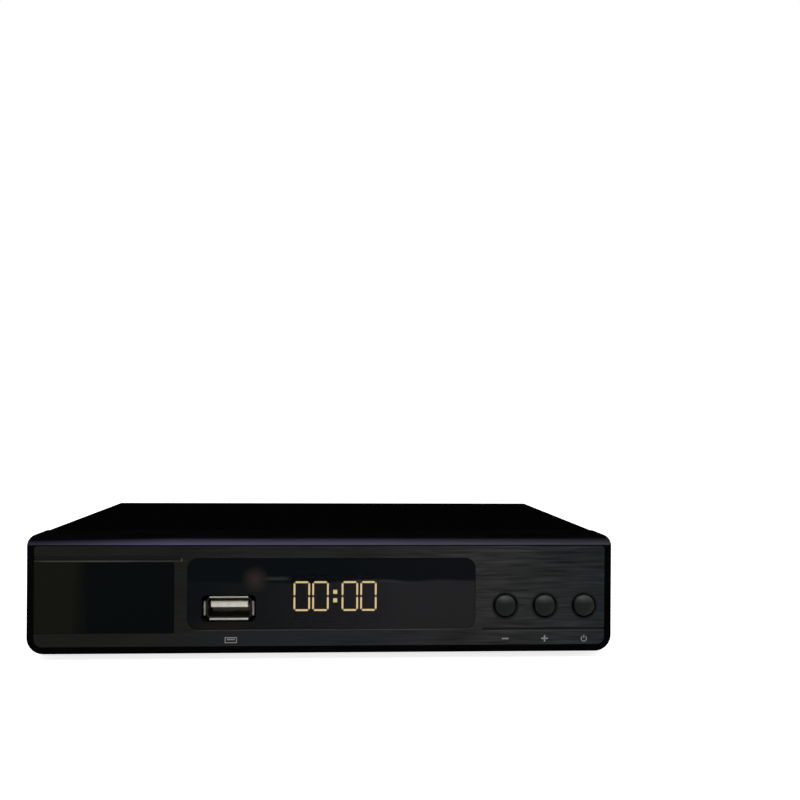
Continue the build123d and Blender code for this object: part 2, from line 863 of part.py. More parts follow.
# Bent from one sheet: the front flange, the bottom with its side flanges, and
# the rear panel with its cut-outs.
with BuildPart() as chassis_tray:
    floor_z = z_at(sheet / 2)
    with BuildSketch(Plane.YZ):
        flange_y = y_at(tray_front + sheet / 2)
        bent_strip(
            (flange_y, z_at(front_flange_height)),
            (flange_y, floor_z),
            (y_at(flange_front), floor_z),
        )
        panel_y = y_at(panel_inside + sheet / 2)
        bent_strip(
            (y_at(flange_rear), floor_z),
            (panel_y, floor_z),
            (panel_y, z_at(panel_top)),
        )
    extrude(amount=tray_half, both=True)
    # the panel's top corners follow the cover's bends
    fillet(edges().filter_by(Axis.Y).group_by(Axis.Z)[-1], shoulder_bend)
    with BuildSketch(upright(flange_front)):
        side_x = tray_half - sheet / 2
        bent_strip(
            (-side_x, z_at(side_flange_height)),
            (-side_x, floor_z),
            (side_x, floor_z),
            (side_x, z_at(side_flange_height)),
        )
    extrude(amount=-(flange_rear - flange_front))

    # holes for the bezel's screws and for the cover's
    with BuildSketch(upright(tray_front)):
        small_rounds(bezel_screw_points, screw_radius + screw_clearance)
    extrude(amount=-sheet, mode=Mode.SUBTRACT)
    with BuildSketch(upright(panel_inside)):
        small_rounds(rear_screw_points, screw_radius + slip)
    extrude(amount=-sheet, mode=Mode.SUBTRACT)
    side_screw_z = z_at(side_flange_height / 2)
    side_screw_y = [y_at(flange_front + side_screw_inset), y_at(flange_rear - side_screw_inset)]
    with BuildSketch(Plane.YZ):
        small_rounds([(y, side_screw_z) for y in side_screw_y], screw_radius + slip)
    extrude(amount=tray_half, both=True, mode=Mode.SUBTRACT)

    # cut-outs of the rear panel
    with BuildSketch(upright(panel_inside)):
        with Locations(*aerial_points):
            RegularPolygon(aerial_hex / 2 + panel_clearance, 6, major_radius=False)
        with Locations((block_x, block_z)):
            Rectangle(
                block_width + 2 * panel_clearance,
                block_top - board_top + 2 * panel_clearance,
            )
        with Locations((inlet_x, inlet_z)):
            Rectangle(inlet_width + 2 * panel_clearance, inlet_tall + 2 * panel_clearance)
        with Locations((video_port_x, video_port_z)):
            Rectangle(
                video_port_inner_width + 2 * (video_port_wall + panel_clearance),
                video_port_inner_height + 2 * (video_port_wall + panel_clearance),
            )
    extrude(amount=-sheet, mode=Mode.SUBTRACT)

    # two fields of slots in the bottom
    with BuildSketch(level(0)):
        with Locations(*[(x, y_at((tray_front + panel_inside) / 2)) for x in bottom_vent_x]):
            with GridLocations(
                bottom_vent_pitch, bottom_vent_length + bottom_vent_gap, bottom_vent_columns, 2
            ):
                Rectangle(bottom_vent_width, bottom_vent_length)
    extrude(amount=sheet, mode=Mode.SUBTRACT)
keep(chassis_tray, "chassis_tray")

# ================================================================ top cover
# One sheet bent over the sides, with a lip bent down over the rear panel.
with BuildPart() as top_cover:
    with BuildSketch(upright(cover_front)):
        wall_x = cover_half - sheet / 2
        roof_z = z_at(cover_top - sheet / 2)
        with BuildLine():
            FilletPolyline(
                (-wall_x, z_at(slip)),
                (-wall_x, roof_z),
                (wall_x, roof_z),
                (wall_x, z_at(slip)),
                radius=shoulder_bend,
            )
        trace(line_width=sheet)
    extrude(amount=-(case_depth - cover_front))
    with BuildSketch(Plane.YZ):
        lip_y = y_at(case_depth - sheet / 2)
        bent_strip(
            (y_at(case_depth - rear_lip_height), roof_z),
            (lip_y, roof_z),
            (lip_y, z_at(cover_top - rear_lip_height)),
        )
    extrude(amount=cover_half - 2 * shoulder_bend, both=True)
    with BuildSketch(upright(lip_inside)):
        small_rounds(rear_screw_points, screw_radius + slip)
    extrude(amount=-sheet, mode=Mode.SUBTRACT)
    # a row of upright slots along each side
    vent_run = case_depth - cover_front - 2 * side_vent_end_gap
    with BuildSketch(Plane.YZ):
        with Locations(
            (y_at((cover_front + case_depth) / 2), z_at(case_height / 2 + side_vent_lift))
        ):
            with GridLocations(side_vent_pitch, 0, int(vent_run / side_vent_pitch) + 1, 1):
                Rectangle(side_vent_width, side_vent_length)
        small_rounds([(y, side_screw_z) for y in side_screw_y], screw_radius + slip)
    extrude(amount=cover_half, both=True, mode=Mode.SUBTRACT)
keep(top_cover, "top_cover")

# ================================================================ screws of the case
with BuildPart() as cover_rear_screws:
    screws(
        [rearward(x, case_depth, z) for x, z in rear_screw_points],
        screw_head_radius,
        screw_head_height,
        screw_radius,
        case_screw_length,
    )
keep(cover_rear_screws, "cover_rear_screws")

with BuildPart() as cover_side_screws:
    screws(
        [
            Plane((side * cover_half, y, side_screw_z), x_dir=(0, 1, 0), z_dir=(side, 0, 0))
            for side in (-1, 1)
            for y in side_screw_y
        ],
        screw_head_radius,
        wafer_head_height,
        screw_radius,
        case_screw_length,
    )
keep(cover_side_screws, "cover_side_screws")

with BuildPart() as bezel_screws:
    screws(
        [rearward(x, tray_front + sheet, z) for x, z in bezel_screw_points],
        bezel_screw_head,
        bezel_screw_head_height,
        screw_radius,
        screw_length,
    )
keep(bezel_screws, "bezel_screws")

# ================================================================ feet
foot_points = [
    (side * (case_width / 2 - foot_inset_x), y_at(depth), 0)
    for side in (-1, 1)
    for depth in (foot_inset_front, case_depth - foot_inset_rear)
]
with BuildPart() as rubber_feet:
    with Locations(*foot_points):
        Box(foot_side, foot_side, foot_height, align=UP)
    chamfer(faces().group_by(Axis.Z)[0].edges(), foot_bevel)
keep(rubber_feet, "rubber_feet")

# ================================================================ main board
standoff_points = [(x, y_at(depth)) for x, depth in standoffs]
with BuildPart() as main_board:
    with BuildSketch(level(board_height)):
        with Locations((0, y_at((board_front + board_rear) / 2))):
            Rectangle(2 * board_half, board_rear - board_front)
        with Locations((data_port_x, y_at((board_tongue_front + board_front) / 2))):
            Rectangle(board_tongue_width, board_front - board_tongue_front)
        small_rounds(standoff_points, screw_radius + screw_clearance, Mode.SUBTRACT)
        with Locations(*[(x, y_at(depth)) for x, depth in data_port_tabs]):
            Rectangle(
                data_port_wall + data_port_tab_slot,
                data_port_tab_width + data_port_tab_slot,
                mode=Mode.SUBTRACT,
            )
    extrude(amount=board_thickness)
keep(main_board, "main_board")

with BuildPart() as board_standoffs:
    with BuildSketch(level(sheet)):
        with Locations(*standoff_points):
            RegularPolygon(standoff_radius, 6, major_radius=False)
    extrude(amount=board_height - sheet)
    with BuildSketch(level(board_height)):
        small_rounds(standoff_points, screw_radius)
    extrude(amount=board_thickness - screw_length, mode=Mode.SUBTRACT)
keep(board_standoffs, "board_standoffs")

with BuildPart() as board_screws:
    screws(
        [upward(*place, board_top) for place in standoffs],
        screw_head_radius,
        screw_head_height,
        screw_radius,
        screw_length,
    )
keep(board_screws, "board_screws")

# ================================================================ tuner and aerial sockets
tuner_middle = (tuner_x, y_at(tuner_rear - tuner_length / 2))
with BuildPart() as tuner_frame:
    with BuildSketch(level(board_top)):
        with Locations(tuner_middle):
            Rectangle(tuner_width, tuner_length)
            Rectangle(
                tuner_width - 2 * tuner_sheet,
                tuner_length - 2 * tuner_sheet,
                mode=Mode.SUBTRACT,
            )
            # one wall across parts the input from the output stage
            with Locations((0, tuner_wall_shift)):
                Rectangle(tuner_width - tuner_sheet, tuner_sheet)
    extrude(amount=tuner_height)
keep(tuner_frame, "tuner_frame")

# The lid's skirt of spring fingers leaves the socket side open.
with BuildPart() as tuner_lid:
    skirt_width = tuner_width + 2 * tuner_sheet
    skirt_length = tuner_length + tuner_sheet
    with BuildSketch(level(board_top + tuner_height)):
        with Locations((tuner_x, y_at(tuner_rear))):
            Rectangle(skirt_width, skirt_length, align=(Align.CENTER, Align.MAX))
    extrude(amount=tuner_sheet)
    with BuildSketch(level(board_top + tuner_height)):
        with Locations((tuner_x, y_at(tuner_rear))):
            Rectangle(skirt_width, skirt_length, align=(Align.CENTER, Align.MAX))
            Rectangle(
                tuner_width, tuner_length, align=(Align.CENTER, Align.MAX), mode=Mode.SUBTRACT
            )
        with Locations(tuner_middle):
            with GridLocations(tuner_finger_pitch, 0, 4, 1):
                Rectangle(tuner_finger_gap, 2 * tuner_length, mode=Mode.SUBTRACT)
            with GridLocations(0, tuner_finger_pitch, 1, 5):
                Rectangle(2 * tuner_width, tuner_finger_gap, mode=Mode.SUBTRACT)
    extrude(amount=-tuner_lid_skirt)
keep(tuner_lid, "tuner_lid")


def make_aerial_socket(x, name):
    """An aerial socket: hexagonal shoulder, barrel and a bored mouth."""
    hex_rear = lip_inside + aerial_hex_stand
    with BuildPart() as socket:
        with BuildSketch(upright(tuner_rear)):
            with Locations((x, socket_z)):
                RegularPolygon(aerial_hex / 2, 6, major_radius=False)
        extrude(amount=-(hex_rear - tuner_rear))
        with Locations(rearward(x, hex_rear, socket_z)):
            Cylinder(aerial_radius, tip_depth - hex_rear, align=UP)
        with BuildSketch(upright(tip_depth)):
            small_rounds([(x, socket_z)], aerial_bore, sides=bore_sides)
        extrude(amount=aerial_bore_depth, mode=Mode.SUBTRACT)
    keep(socket, name)


for x, name in zip(aerial_x, ("aerial_input_socket", "aerial_loop_socket")):
    make_aerial_socket(x, name)

with BuildPart() as aerial_insulators:
    with BuildSketch(upright(tip_depth - insulator_setback)):
        small_rounds(aerial_points, aerial_bore - slip, sides=bore_sides)
    extrude(amount=aerial_bore_depth - insulator_setback)
keep(aerial_insulators, "aerial_insulators")

# ================================================================ sound and picture jacks
with BuildPart() as jack_block:
    with BuildSketch(upright(jack_face)):
        with Locations((block_x, block_z)):
            Rectangle(block_width, block_top - board_top)
    extrude(amount=jack_block_length)
keep(jack_block, "jack_block")

jack_inside = jack_radius - jack_wall
core_length = tip_depth - jack_core_setback - jack_face
sleeve_end = tip_depth - jack_sleeve_setback - jack_face


def make_jack_collar(x, name):
    """A jack's coloured moulding: the collar on the block and the bored core."""
    middle = [(x, socket_z)]
    with BuildPart() as moulding:
        with BuildSketch(upright(jack_face)):
            circles(middle, jack_collar_radius)
        extrude(amount=-jack_collar_stand)
        with BuildSketch(upright(jack_face)):
            small_rounds(middle, jack_inside, sides=bore_sides)
        extrude(amount=-core_length)
        with BuildSketch(upright(jack_face)):
            small_rounds(middle, jack_bore)
        extrude(amount=-core_length, mode=Mode.SUBTRACT)
    keep(moulding, name)


for x, name in zip(jack_x, ("video_collar", "left_sound_collar", "right_sound_collar")):
    make_jack_collar(x, name)

with BuildPart() as jack_sleeves:
    with BuildSketch(upright(jack_face + jack_collar_stand)):
        circles(jack_points, jack_radius)
        small_rounds(jack_points, jack_inside, Mode.SUBTRACT, bore_sides)
    extrude(amount=-(sleeve_end - jack_collar_stand))
keep(jack_sleeves, "jack_sleeves")


# ================================================================ digital video socket
def video_port_outline(grow):
    """Adds the socket's outline: square above, with its lower corners cut in."""
    half = video_port_inner_width / 2 + grow
    high = video_port_inner_height / 2 + grow
    shoulder_in, shoulder_up = video_port_shoulder
    with Locations((video_port_x, video_port_z)):
        Polygon(
            (-half, high),
            (-half, video_port_side_low),
            (shoulder_in - half, shoulder_up - high),
            (video_port_floor_inset - half, -high),
            (half - video_port_floor_inset, -high),
            (half - shoulder_in, shoulder_up - high),
            (half, video_port_side_low),
            (half, high),
        )


with BuildPart() as video_port_shell:
    with BuildSketch(upright(video_port_rear)):
        video_port_outline(video_port_wall)
    extrude(amount=video_port_length)
    with BuildSketch(upright(video_port_rear)):
        video_port_outline(0)
    extrude(amount=video_port_length, mode=Mode.SUBTRACT)
keep(video_port_shell, "video_port_shell")

with BuildPart() as video_port_tongue:
    with BuildSketch(upright(video_port_rear - video_port_length)):
        video_port_outline(0)
    extrude(amount=-video_port_core_length)
    with BuildSketch(upright(video_port_rear - video_port_length)):
        with Locations((video_port_x, video_port_z + video_port_tongue_lift)):
            Rectangle(video_port_tongue_width, video_port_tongue_thickness)
    extrude(amount=-(video_port_length - video_port_tongue_setback))
keep(video_port_tongue, "video_port_tongue")

# ================================================================ DC inlet
with BuildPart() as power_inlet:
    with BuildSketch(upright(jack_face)):
        with Locations((inlet_x, inlet_z)):
            Rectangle(inlet_width, inlet_tall)
    extrude(amount=inlet_length)
    with BuildSketch(upright(jack_face)):
        small_rounds([(inlet_x, inlet_z)], inlet_bore, sides=bore_sides)
    extrude(amount=inlet_bore_depth, mode=Mode.SUBTRACT)
keep(power_inlet, "power_inlet")

with BuildPart() as inlet_pin:
    with BuildSketch(upright(jack_face - inlet_bore_depth)):
        small_rounds([(inlet_x, inlet_z)], inlet_pin_radius)
    extrude(amount=-inlet_pin_length)
keep(inlet_pin, "inlet_pin")

# ================================================================ pieces on the main board
processor_place = (processor_x, processor_depth)
pad_height = board_top + processor_thickness
with BuildPart() as processor:
    chip(processor_place, (processor_side, processor_side, processor_thickness))
keep(processor, "processor")

with BuildPart() as thermal_pad:
    pad_side = processor_side - 2 * pad_inset
    chip(processor_place, (pad_side, pad_side, pad_thickness), pad_height)
keep(thermal_pad, "thermal_pad")

with BuildPart() as heat_sink:
    sink_low = z_at(pad_height + pad_thickness)
    with BuildSketch(upright(processor_depth - sink_side / 2)):
        with Locations((processor_x, sink_low + sink_base / 2)):
            Rectangle(sink_side, sink_base)
        with Locations((processor_x, sink_low + sink_base + sink_fin_height / 2)):
            with GridLocations(sink_fin_pitch, 0, sink_fin_count, 1):
                Rectangle(sink_fin, sink_fin_height)
    extrude(amount=-sink_side)
keep(heat_sink, "heat_sink")

with BuildPart() as memory_chip:
    chip(memory_place, memory_size)
keep(memory_chip, "memory_chip")

with BuildPart() as flash_chip:
    chip(flash_place, flash_size)
keep(flash_chip, "flash_chip")

with BuildPart() as crystal:
    chip(crystal_place, crystal_size)
keep(crystal, "crystal")

with BuildPart() as regulators:
    for place in regulator_places:
        chip(place, regulator_size)
keep(regulators, "regulators")

with BuildPart() as power_inductors:
    with BuildSketch(level(board_top)):
        with Locations(*[(x, y_at(depth)) for x, depth in inductor_places]):
            Rectangle(inductor_side, inductor_side)
        chamfer(vertices(), inductor_bevel)
    extrude(amount=inductor_height)
keep(power_inductors, "power_inductors")

with BuildPart() as electrolytic_capacitors:
    for x, from_panel, radius, tall in capacitors:
        with BuildSketch(level(board_top)):
            place = (x, y_at(panel_inside - from_panel))
            small_rounds([place], radius, sides=bore_sides)
        extrude(amount=tall)
keep(electrolytic_capacitors, "electrolytic_capacitors")

# ================================================================ ribbon between the boards
header_size = (ribbon_width + header_overlap, header_thickness, header_length)
with BuildPart() as ribbon_headers:
    with Locations(
        rearward(ribbon_x, front_board_back, z_at(ribbon_height)),
        upward(ribbon_x, header_depth, board_top),
    ):
        Box(*header_size, align=UP)
keep(ribbon_headers, "ribbon_headers")

with BuildPart() as front_ribbon_cable:
    with BuildSketch(Plane.YZ.offset(ribbon_x)):
        with BuildLine():
            FilletPolyline(
                (y_at(front_board_back + header_length), z_at(ribbon_height)),
                (y_at(header_depth), z_at(ribbon_height)),
                (y_at(header_depth), z_at(board_top + header_length)),
                radius=ribbon_bend,
            )
        trace(line_width=ribbon_thickness)
    extrude(amount=ribbon_width / 2, both=True)
keep(front_ribbon_cable, "front_ribbon_cable")
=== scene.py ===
# %% [markdown]
# # Satellite television receiver
# The box is a moulded front bezel with a brushed plate and a smoked window, in front of a bent
# sheet-metal case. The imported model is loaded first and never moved, so every place below is
# written in the same frame: x to the right, y to the back, z up, with the feet standing on z = 0.
# Lengths are in millimetres, and MM turns them into Blender's metres.

# %% Load the frame
import math

import bpy
from mathutils import Matrix, Vector


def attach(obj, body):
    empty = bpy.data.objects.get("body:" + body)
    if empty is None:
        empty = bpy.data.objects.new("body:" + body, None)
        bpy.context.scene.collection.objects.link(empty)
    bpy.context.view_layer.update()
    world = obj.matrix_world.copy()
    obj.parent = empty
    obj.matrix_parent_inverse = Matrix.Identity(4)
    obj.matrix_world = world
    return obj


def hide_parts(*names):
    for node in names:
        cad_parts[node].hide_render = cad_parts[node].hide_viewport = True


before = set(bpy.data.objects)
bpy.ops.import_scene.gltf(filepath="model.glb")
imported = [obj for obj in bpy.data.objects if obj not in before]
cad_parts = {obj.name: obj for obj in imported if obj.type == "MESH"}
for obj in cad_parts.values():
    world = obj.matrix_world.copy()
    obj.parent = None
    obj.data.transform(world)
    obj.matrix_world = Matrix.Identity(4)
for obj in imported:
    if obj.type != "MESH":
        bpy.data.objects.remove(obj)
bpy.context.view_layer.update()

MM = 0.001

# %% [markdown]
# ## Places read from the CAD model
# The keys, sockets and jacks made here must stand exactly where the CAD model has them. Typing
# their places again would let the two drift apart, so they are measured on the nodes instead.

# %% Places of the keys, sockets and plate
def extent(name):
    """The lowest and the highest corner of a CAD node."""
    points = [vertex.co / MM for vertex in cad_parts[name].data.vertices]
    low = [round(min(point[axis] for point in points), 2) for axis in range(3)]
    high = [round(max(point[axis] for point in points), 2) for axis in range(3)]
    return low, high


def middle_of(name):
    """The x and z of a CAD node's middle, as seen from the front."""
    low, high = extent(name)
    return round((low[0] + high[0]) / 2, 2), round((low[2] + high[2]) / 2, 2)


(PLATE_LEFT, PLATE_FRONT, _), (PLATE_RIGHT, _, _) = extent("face_plate")
KEY_MIDDLES = [middle_of(name) for name in ("channel_down_key", "channel_up_key", "power_key")]
DOWN_KEY_X, UP_KEY_X, POWER_KEY_X = [x for x, z in KEY_MIDDLES]
AERIAL_MIDDLES = [middle_of(name) for name in ("aerial_input_socket", "aerial_loop_socket")]
print("keys at", KEY_MIDDLES, "aerial sockets at", AERIAL_MIDDLES, "plate front at y", PLATE_FRONT)

# %% [markdown]
# ## Camera
# A lens is described by where it stands, where it looks and how long it is. Looking angles are
# easier to read than a matrix, so three angles are turned into the camera's own axes here.
# A small shift slides the picture in its frame without turning the lens.

# %% Camera
CAMERA_PLACE = (0.71, -321.64, 70.4)
CAMERA_YAW, CAMERA_PITCH, CAMERA_ROLL = 2.87, 0.01, 0.36
SENSOR_WIDTH, FOCAL_LENGTH = 36, 39.62
SHIFT_RIGHT, SHIFT_UP = 0.036, 0.0313


def looking_matrix(place, yaw, pitch, roll):
    """A camera's matrix. Yaw turns it to the right, pitch tips it down, roll leans it."""
    ahead = Vector((math.sin(yaw) * math.cos(pitch), math.cos(yaw) * math.cos(pitch), -math.sin(pitch)))
    side = Vector((math.cos(yaw), -math.sin(yaw), 0))
    above = side.cross(ahead)
    right = math.cos(roll) * side + math.sin(roll) * above
    up = math.cos(roll) * above - math.sin(roll) * side
    turn = Matrix((right, up, -ahead)).transposed().to_4x4()
    return Matrix.Translation(place) @ turn


lens = bpy.data.cameras.new("lens")
lens.sensor_width = SENSOR_WIDTH
lens.lens = FOCAL_LENGTH
lens.shift_x, lens.shift_y = SHIFT_RIGHT, SHIFT_UP
lens.clip_start = 10 * MM
viewer = bpy.data.objects.new("viewer", lens)
bpy.context.collection.objects.link(viewer)
looking_angles = [math.radians(angle) for angle in (CAMERA_YAW, CAMERA_PITCH, CAMERA_ROLL)]
viewer.matrix_world = looking_matrix(Vector(CAMERA_PLACE) * MM, *looking_angles)
bpy.context.scene.camera = viewer
bpy.context.scene.view_settings.view_transform = "Standard"
print("camera at", tuple(round(v, 4) for v in viewer.location), "lens", lens.lens)

# %% [markdown]
# ## Nodes
# The world, the floor and every finish are trees of shader nodes. Each node takes three or four
# lines when it is written out, so a few helpers add a node, link it and do sums with it. They
# work on anything that owns a tree, which is a material or the world.

# %% Helpers for nodes
def node(owner, kind, **values):
    """A new node in the owner's tree."""
    made = owner.node_tree.nodes.new(kind)
    for key, value in values.items():
        setattr(made, key, value)
    return made


def join(owner, source, target):
    """Leads a node's output, or a plain number, into another node's input."""
    if isinstance(source, (int, float)):
        target.default_value = source
    else:
        owner.node_tree.links.new(source, target)


def worked_out(owner, operation, *values):
    """The result of a Math node on up to three outputs or numbers."""
    working = node(owner, "ShaderNodeMath", operation=operation)
    for value, socket in zip(values, working.inputs):
        join(owner, value, socket)
    return working.outputs[0]


def product(owner, *factors):
    """The factors multiplied together."""
    result = factors[0]
    for factor in factors[1:]:
        result = worked_out(owner, "MULTIPLY", result, factor)
    return result


def total(owner, *terms):
    """The terms added up."""
    result = terms[0]
    for term in terms[1:]:
        result = worked_out(owner, "ADD", result, term)
    return result


def either(owner, mask, where_0, where_1):
    """Two shaders mixed: the first where the mask is 0, and the second where it is 1."""
    mix = node(owner, "ShaderNodeMixShader")
    join(owner, mask, mix.inputs["Fac"])
    join(owner, where_0, mix.inputs[1])
    join(owner, where_1, mix.inputs[2])
    return mix.outputs[0]


def shader_input(material, socket):
    """A socket of the material's main shader."""
    return material.node_tree.nodes["Principled BSDF"].inputs[socket]


def finish(name, colour, roughness, metallic=0.0, specular=0.5):
    """A new material with its main values set on the shader itself."""
    material = bpy.data.materials.new(name)
    material.use_nodes = True
    shader_input(material, "Base Color").default_value = (*colour, 1)
    shader_input(material, "Roughness").default_value = roughness
    shader_input(material, "Metallic").default_value = metallic
    shader_input(material, "Specular IOR Level").default_value = specular
    return material


print("node helpers ready")

# %% [markdown]
# ## Stage
# A floor and an all-round white world are enough for a product picture. The world could light
# the object alone, but then its white would be too strong for black plastic, so the world shows
# white only to the camera, to mirrors and to glass, and gives everything else a softer light.

# %% World
SOFT_LIGHT = 0.4


def seen_directly(owner):
    """A number that is 1 for rays from the camera, off a mirror or through glass, and 0 otherwise."""
    rays = node(owner, "ShaderNodeLightPath").outputs
    seen = worked_out(owner, "MAXIMUM", rays["Is Camera Ray"], rays["Is Glossy Ray"])
    return worked_out(owner, "MAXIMUM", seen, rays["Is Transmission Ray"])


def lit_side(colour, strength):
    """Light of one colour from all round."""
    side = node(world, "ShaderNodeBackground")
    side.inputs["Color"].default_value = (*colour, 1)
    side.inputs["Strength"].default_value = strength
    return side.outputs[0]


world = bpy.data.worlds.new("white_room")
bpy.context.scene.world = world
world.use_nodes = True
world.node_tree.nodes.clear()
soft_side = lit_side((0.95, 0.97, 1), SOFT_LIGHT)
white_side = lit_side((1, 1, 1), 1.0)
all_round = either(world, seen_directly(world), soft_side, white_side)
join(world, all_round, node(world, "ShaderNodeOutputWorld").inputs["Surface"])
print("world with", len(world.node_tree.nodes), "nodes, soft side", SOFT_LIGHT)

# %% [markdown]
# The floor is a sheet of white paper. Paper under soft light comes out grey, so light of its
# own is added where the camera sees it. From underneath the sheet is clear, so that the box's
# bottom can be looked at.

# %% Floor
FLOOR_SIZE = 12000
FLOOR_LIFT = 0.8

bpy.ops.object.select_all(action="DESELECT")
bpy.ops.mesh.primitive_plane_add(size=FLOOR_SIZE * MM, location=(0, 0, 0))
floor = bpy.context.object
floor.name = "floor"
paper = finish("white_paper", (0.86, 0.86, 0.86), 0.9, specular=0.0)
paper_nodes = paper.node_tree.nodes
lift = node(paper, "ShaderNodeEmission")
lift.inputs["Color"].default_value = (1, 1, 1, 1)
join(paper, product(paper, seen_directly(paper), FLOOR_LIFT), lift.inputs["Strength"])
lifted = node(paper, "ShaderNodeAddShader")
join(paper, paper_nodes["Principled BSDF"].outputs[0], lifted.inputs[0])
join(paper, lift.outputs[0], lifted.inputs[1])
underneath = node(paper, "ShaderNodeNewGeometry").outputs["Backfacing"]
clear = node(paper, "ShaderNodeBsdfTransparent").outputs[0]
one_way = either(paper, underneath, lifted.outputs[0], clear)
join(paper, one_way, paper_nodes["Material Output"].inputs["Surface"])
floor.data.materials.append(paper)
print("floor", floor.dimensions[:2])

# %% [markdown]
# ## Lamps
# Three panels give soft light without hard edges. The main one hangs above and a little in
# front, so that the domed keys catch it near their upper rims. A weaker and larger one stands
# further forward, and a third behind keeps the sockets readable from the back.

# %% Lamps
FRONT_TARGET = (0, -60, 20)
BACK_TARGET = (0, 50, 20)


def panel(name, place, target, width, height, watts, colour=(1, 1, 1)):
    """A rectangular lamp that faces its target."""
    lamp = bpy.data.lights.new(name, "AREA")
    lamp.shape = "RECTANGLE"
    lamp.size, lamp.size_y = width * MM, height * MM
    lamp.energy = watts
    lamp.color = colour
    holder = bpy.data.objects.new(name, lamp)
    bpy.context.collection.objects.link(holder)
    holder.location = Vector(place) * MM
    holder.rotation_euler = (Vector(target) - Vector(place)).to_track_quat("-Z", "Y").to_euler()


panel("overhead", (0, -550, 720), FRONT_TARGET, 500, 300, 4.2, (0.97, 0.97, 1.0))
panel("front", (120, -950, 450), FRONT_TARGET, 600, 400, 1.0, (1, 0.99, 0.97))
panel("behind", (-400, 950, 500), BACK_TARGET, 600, 400, 3.6)

# %% [markdown]
# ## Finishes
# A surface never has one even colour. Every finish below starts from the same shader and adds
# fine noise in millimetres: noise that changes the colour a little, the gloss a little, or the
# height a little. The noise reads Object coordinates, so it stays fixed to the piece.

# %% Helper to dress CAD nodes
def dress(material, *names):
    """Gives the finish to CAD nodes, in every one of their slots."""
    for name in names:
        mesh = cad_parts[name].data
        if not mesh.materials:
            mesh.materials.append(material)
        for index in range(len(mesh.materials)):
            mesh.materials[index] = material


print("dressing helper ready")

# %% [markdown]
# Noise comes out between 0 and 1 with most of it near the middle, so it is stretched before it
# is used. A finish that changes along the piece reads the point's own place instead of noise,
# and is stretched in the same way.

# %% Helpers for noise and places
def mapped_noise(material, vector, scale, location, detail):
    """Noise on a vector that is scaled and slid first."""
    fit = node(material, "ShaderNodeMapping")
    fit.inputs["Scale"].default_value = scale
    fit.inputs["Location"].default_value = location
    noise = node(material, "ShaderNodeTexNoise")
    noise.inputs["Scale"].default_value = 1.0
    noise.inputs["Detail"].default_value = detail
    join(material, vector, fit.inputs["Vector"])
    join(material, fit.outputs["Vector"], noise.inputs["Vector"])
    return noise.outputs["Fac"]


def grain(material, size, stretch=(1, 1, 1), detail=3.0, turn=0.0):
    """Noise whose blobs are about size millimetres wide, drawn out along an axis by stretch."""
    where = node(material, "ShaderNodeTexCoord")
    scale = [1 / (MM * size * s) for s in stretch]
    return mapped_noise(material, where.outputs["Object"], scale, (turn, turn * 0.7, turn * 1.3), detail)


def spread(material, source, low, high, start=0.3, end=0.7):
    """Low to high as the source goes from start to end."""
    remap = node(material, "ShaderNodeMapRange")
    for socket, value in (("From Min", start), ("From Max", end), ("To Min", low), ("To Max", high)):
        remap.inputs[socket].default_value = value
    join(material, source, remap.inputs["Value"])
    return remap.outputs["Result"]


def slope(material, coordinate, low, high, start, end):
    """Low to high as a coordinate goes from start to end millimetres."""
    return spread(material, coordinate, low, high, start * MM, end * MM)


def place_of(material):
    """The point's x, y and z on the piece, in metres."""
    where = node(material, "ShaderNodeTexCoord")
    split = node(material, "ShaderNodeSeparateXYZ")
    join(material, where.outputs["Object"], split.inputs[0])
    return split.outputs["X"], split.outputs["Y"], split.outputs["Z"]


def vector_of(material, x=None, y=None, z=None):
    """Up to three coordinates put together again. One that is left out counts as 0."""
    put_together = node(material, "ShaderNodeCombineXYZ")
    for socket, coordinate in (("X", x), ("Y", y), ("Z", z)):
        if coordinate is not None:
            join(material, coordinate, put_together.inputs[socket])
    return put_together.outputs[0]


def swayed(material, coordinate, noise, reach):
    """A coordinate pushed along by noise, by up to reach millimetres."""
    return worked_out(material, "MULTIPLY_ADD", noise, reach * MM, coordinate)


print("noise helpers ready")

# %% [markdown]
# Masks are numbers between 0 and 1 that say where a colour is laid. They are built from slopes
# in x and z, so a mask is multiplied with others to narrow it and added to others to widen it.

# %% Helpers for masks
def within(material, coordinate, low, high, soft):
    """1 where a coordinate lies between low and high millimetres, fading out over soft millimetres."""
    rise = slope(material, coordinate, 0, 1, low - soft / 2, low + soft / 2)
    fall = slope(material, coordinate, 1, 0, high - soft / 2, high + soft / 2)
    return product(material, rise, fall)


def block(material, x, x_range, z, z_range, *factors):
    """1 inside a rectangle of x and z, times more factors. A range is low, high and its soft edge."""
    return product(material, within(material, x, *x_range), within(material, z, *z_range), *factors)


def disc(material, middle, inside, outside):
    """1 within a distance of a line along y through middle (x, z), fading to 0 at the outside distance."""
    across, _, upwards = place_of(material)
    apart = node(material, "ShaderNodeVectorMath", operation="DISTANCE")
    join(material, vector_of(material, x=across, z=upwards), apart.inputs[0])
    apart.inputs[1].default_value = (middle[0] * MM, 0, middle[1] * MM)
    return slope(material, apart.outputs["Value"], 1.0, 0.0, inside, outside)


def discs(material, middles, inside, outside):
    """Several discs of one size."""
    return total(material, *[disc(material, middle, inside, outside) for middle in middles])


print("mask helpers ready")

# %% [markdown]
# The last helpers lead a number or a colour into the shader: as its colour, its gloss, or the
# small heights that only change how light falls on the surface.

# %% Helpers for colour, gloss and relief
def ramp(material, source, stops):
    """A colour that runs through (position, colour) stops as the source rises from 0 to 1."""
    colours = node(material, "ShaderNodeValToRGB")
    elements = colours.color_ramp.elements
    while len(elements) < len(stops):
        elements.new(0.5)
    for element, (position, colour) in zip(elements, stops):
        element.position = position
        element.color = (*colour, 1)
    join(material, source, colours.inputs["Fac"])
    return colours.outputs["Color"]


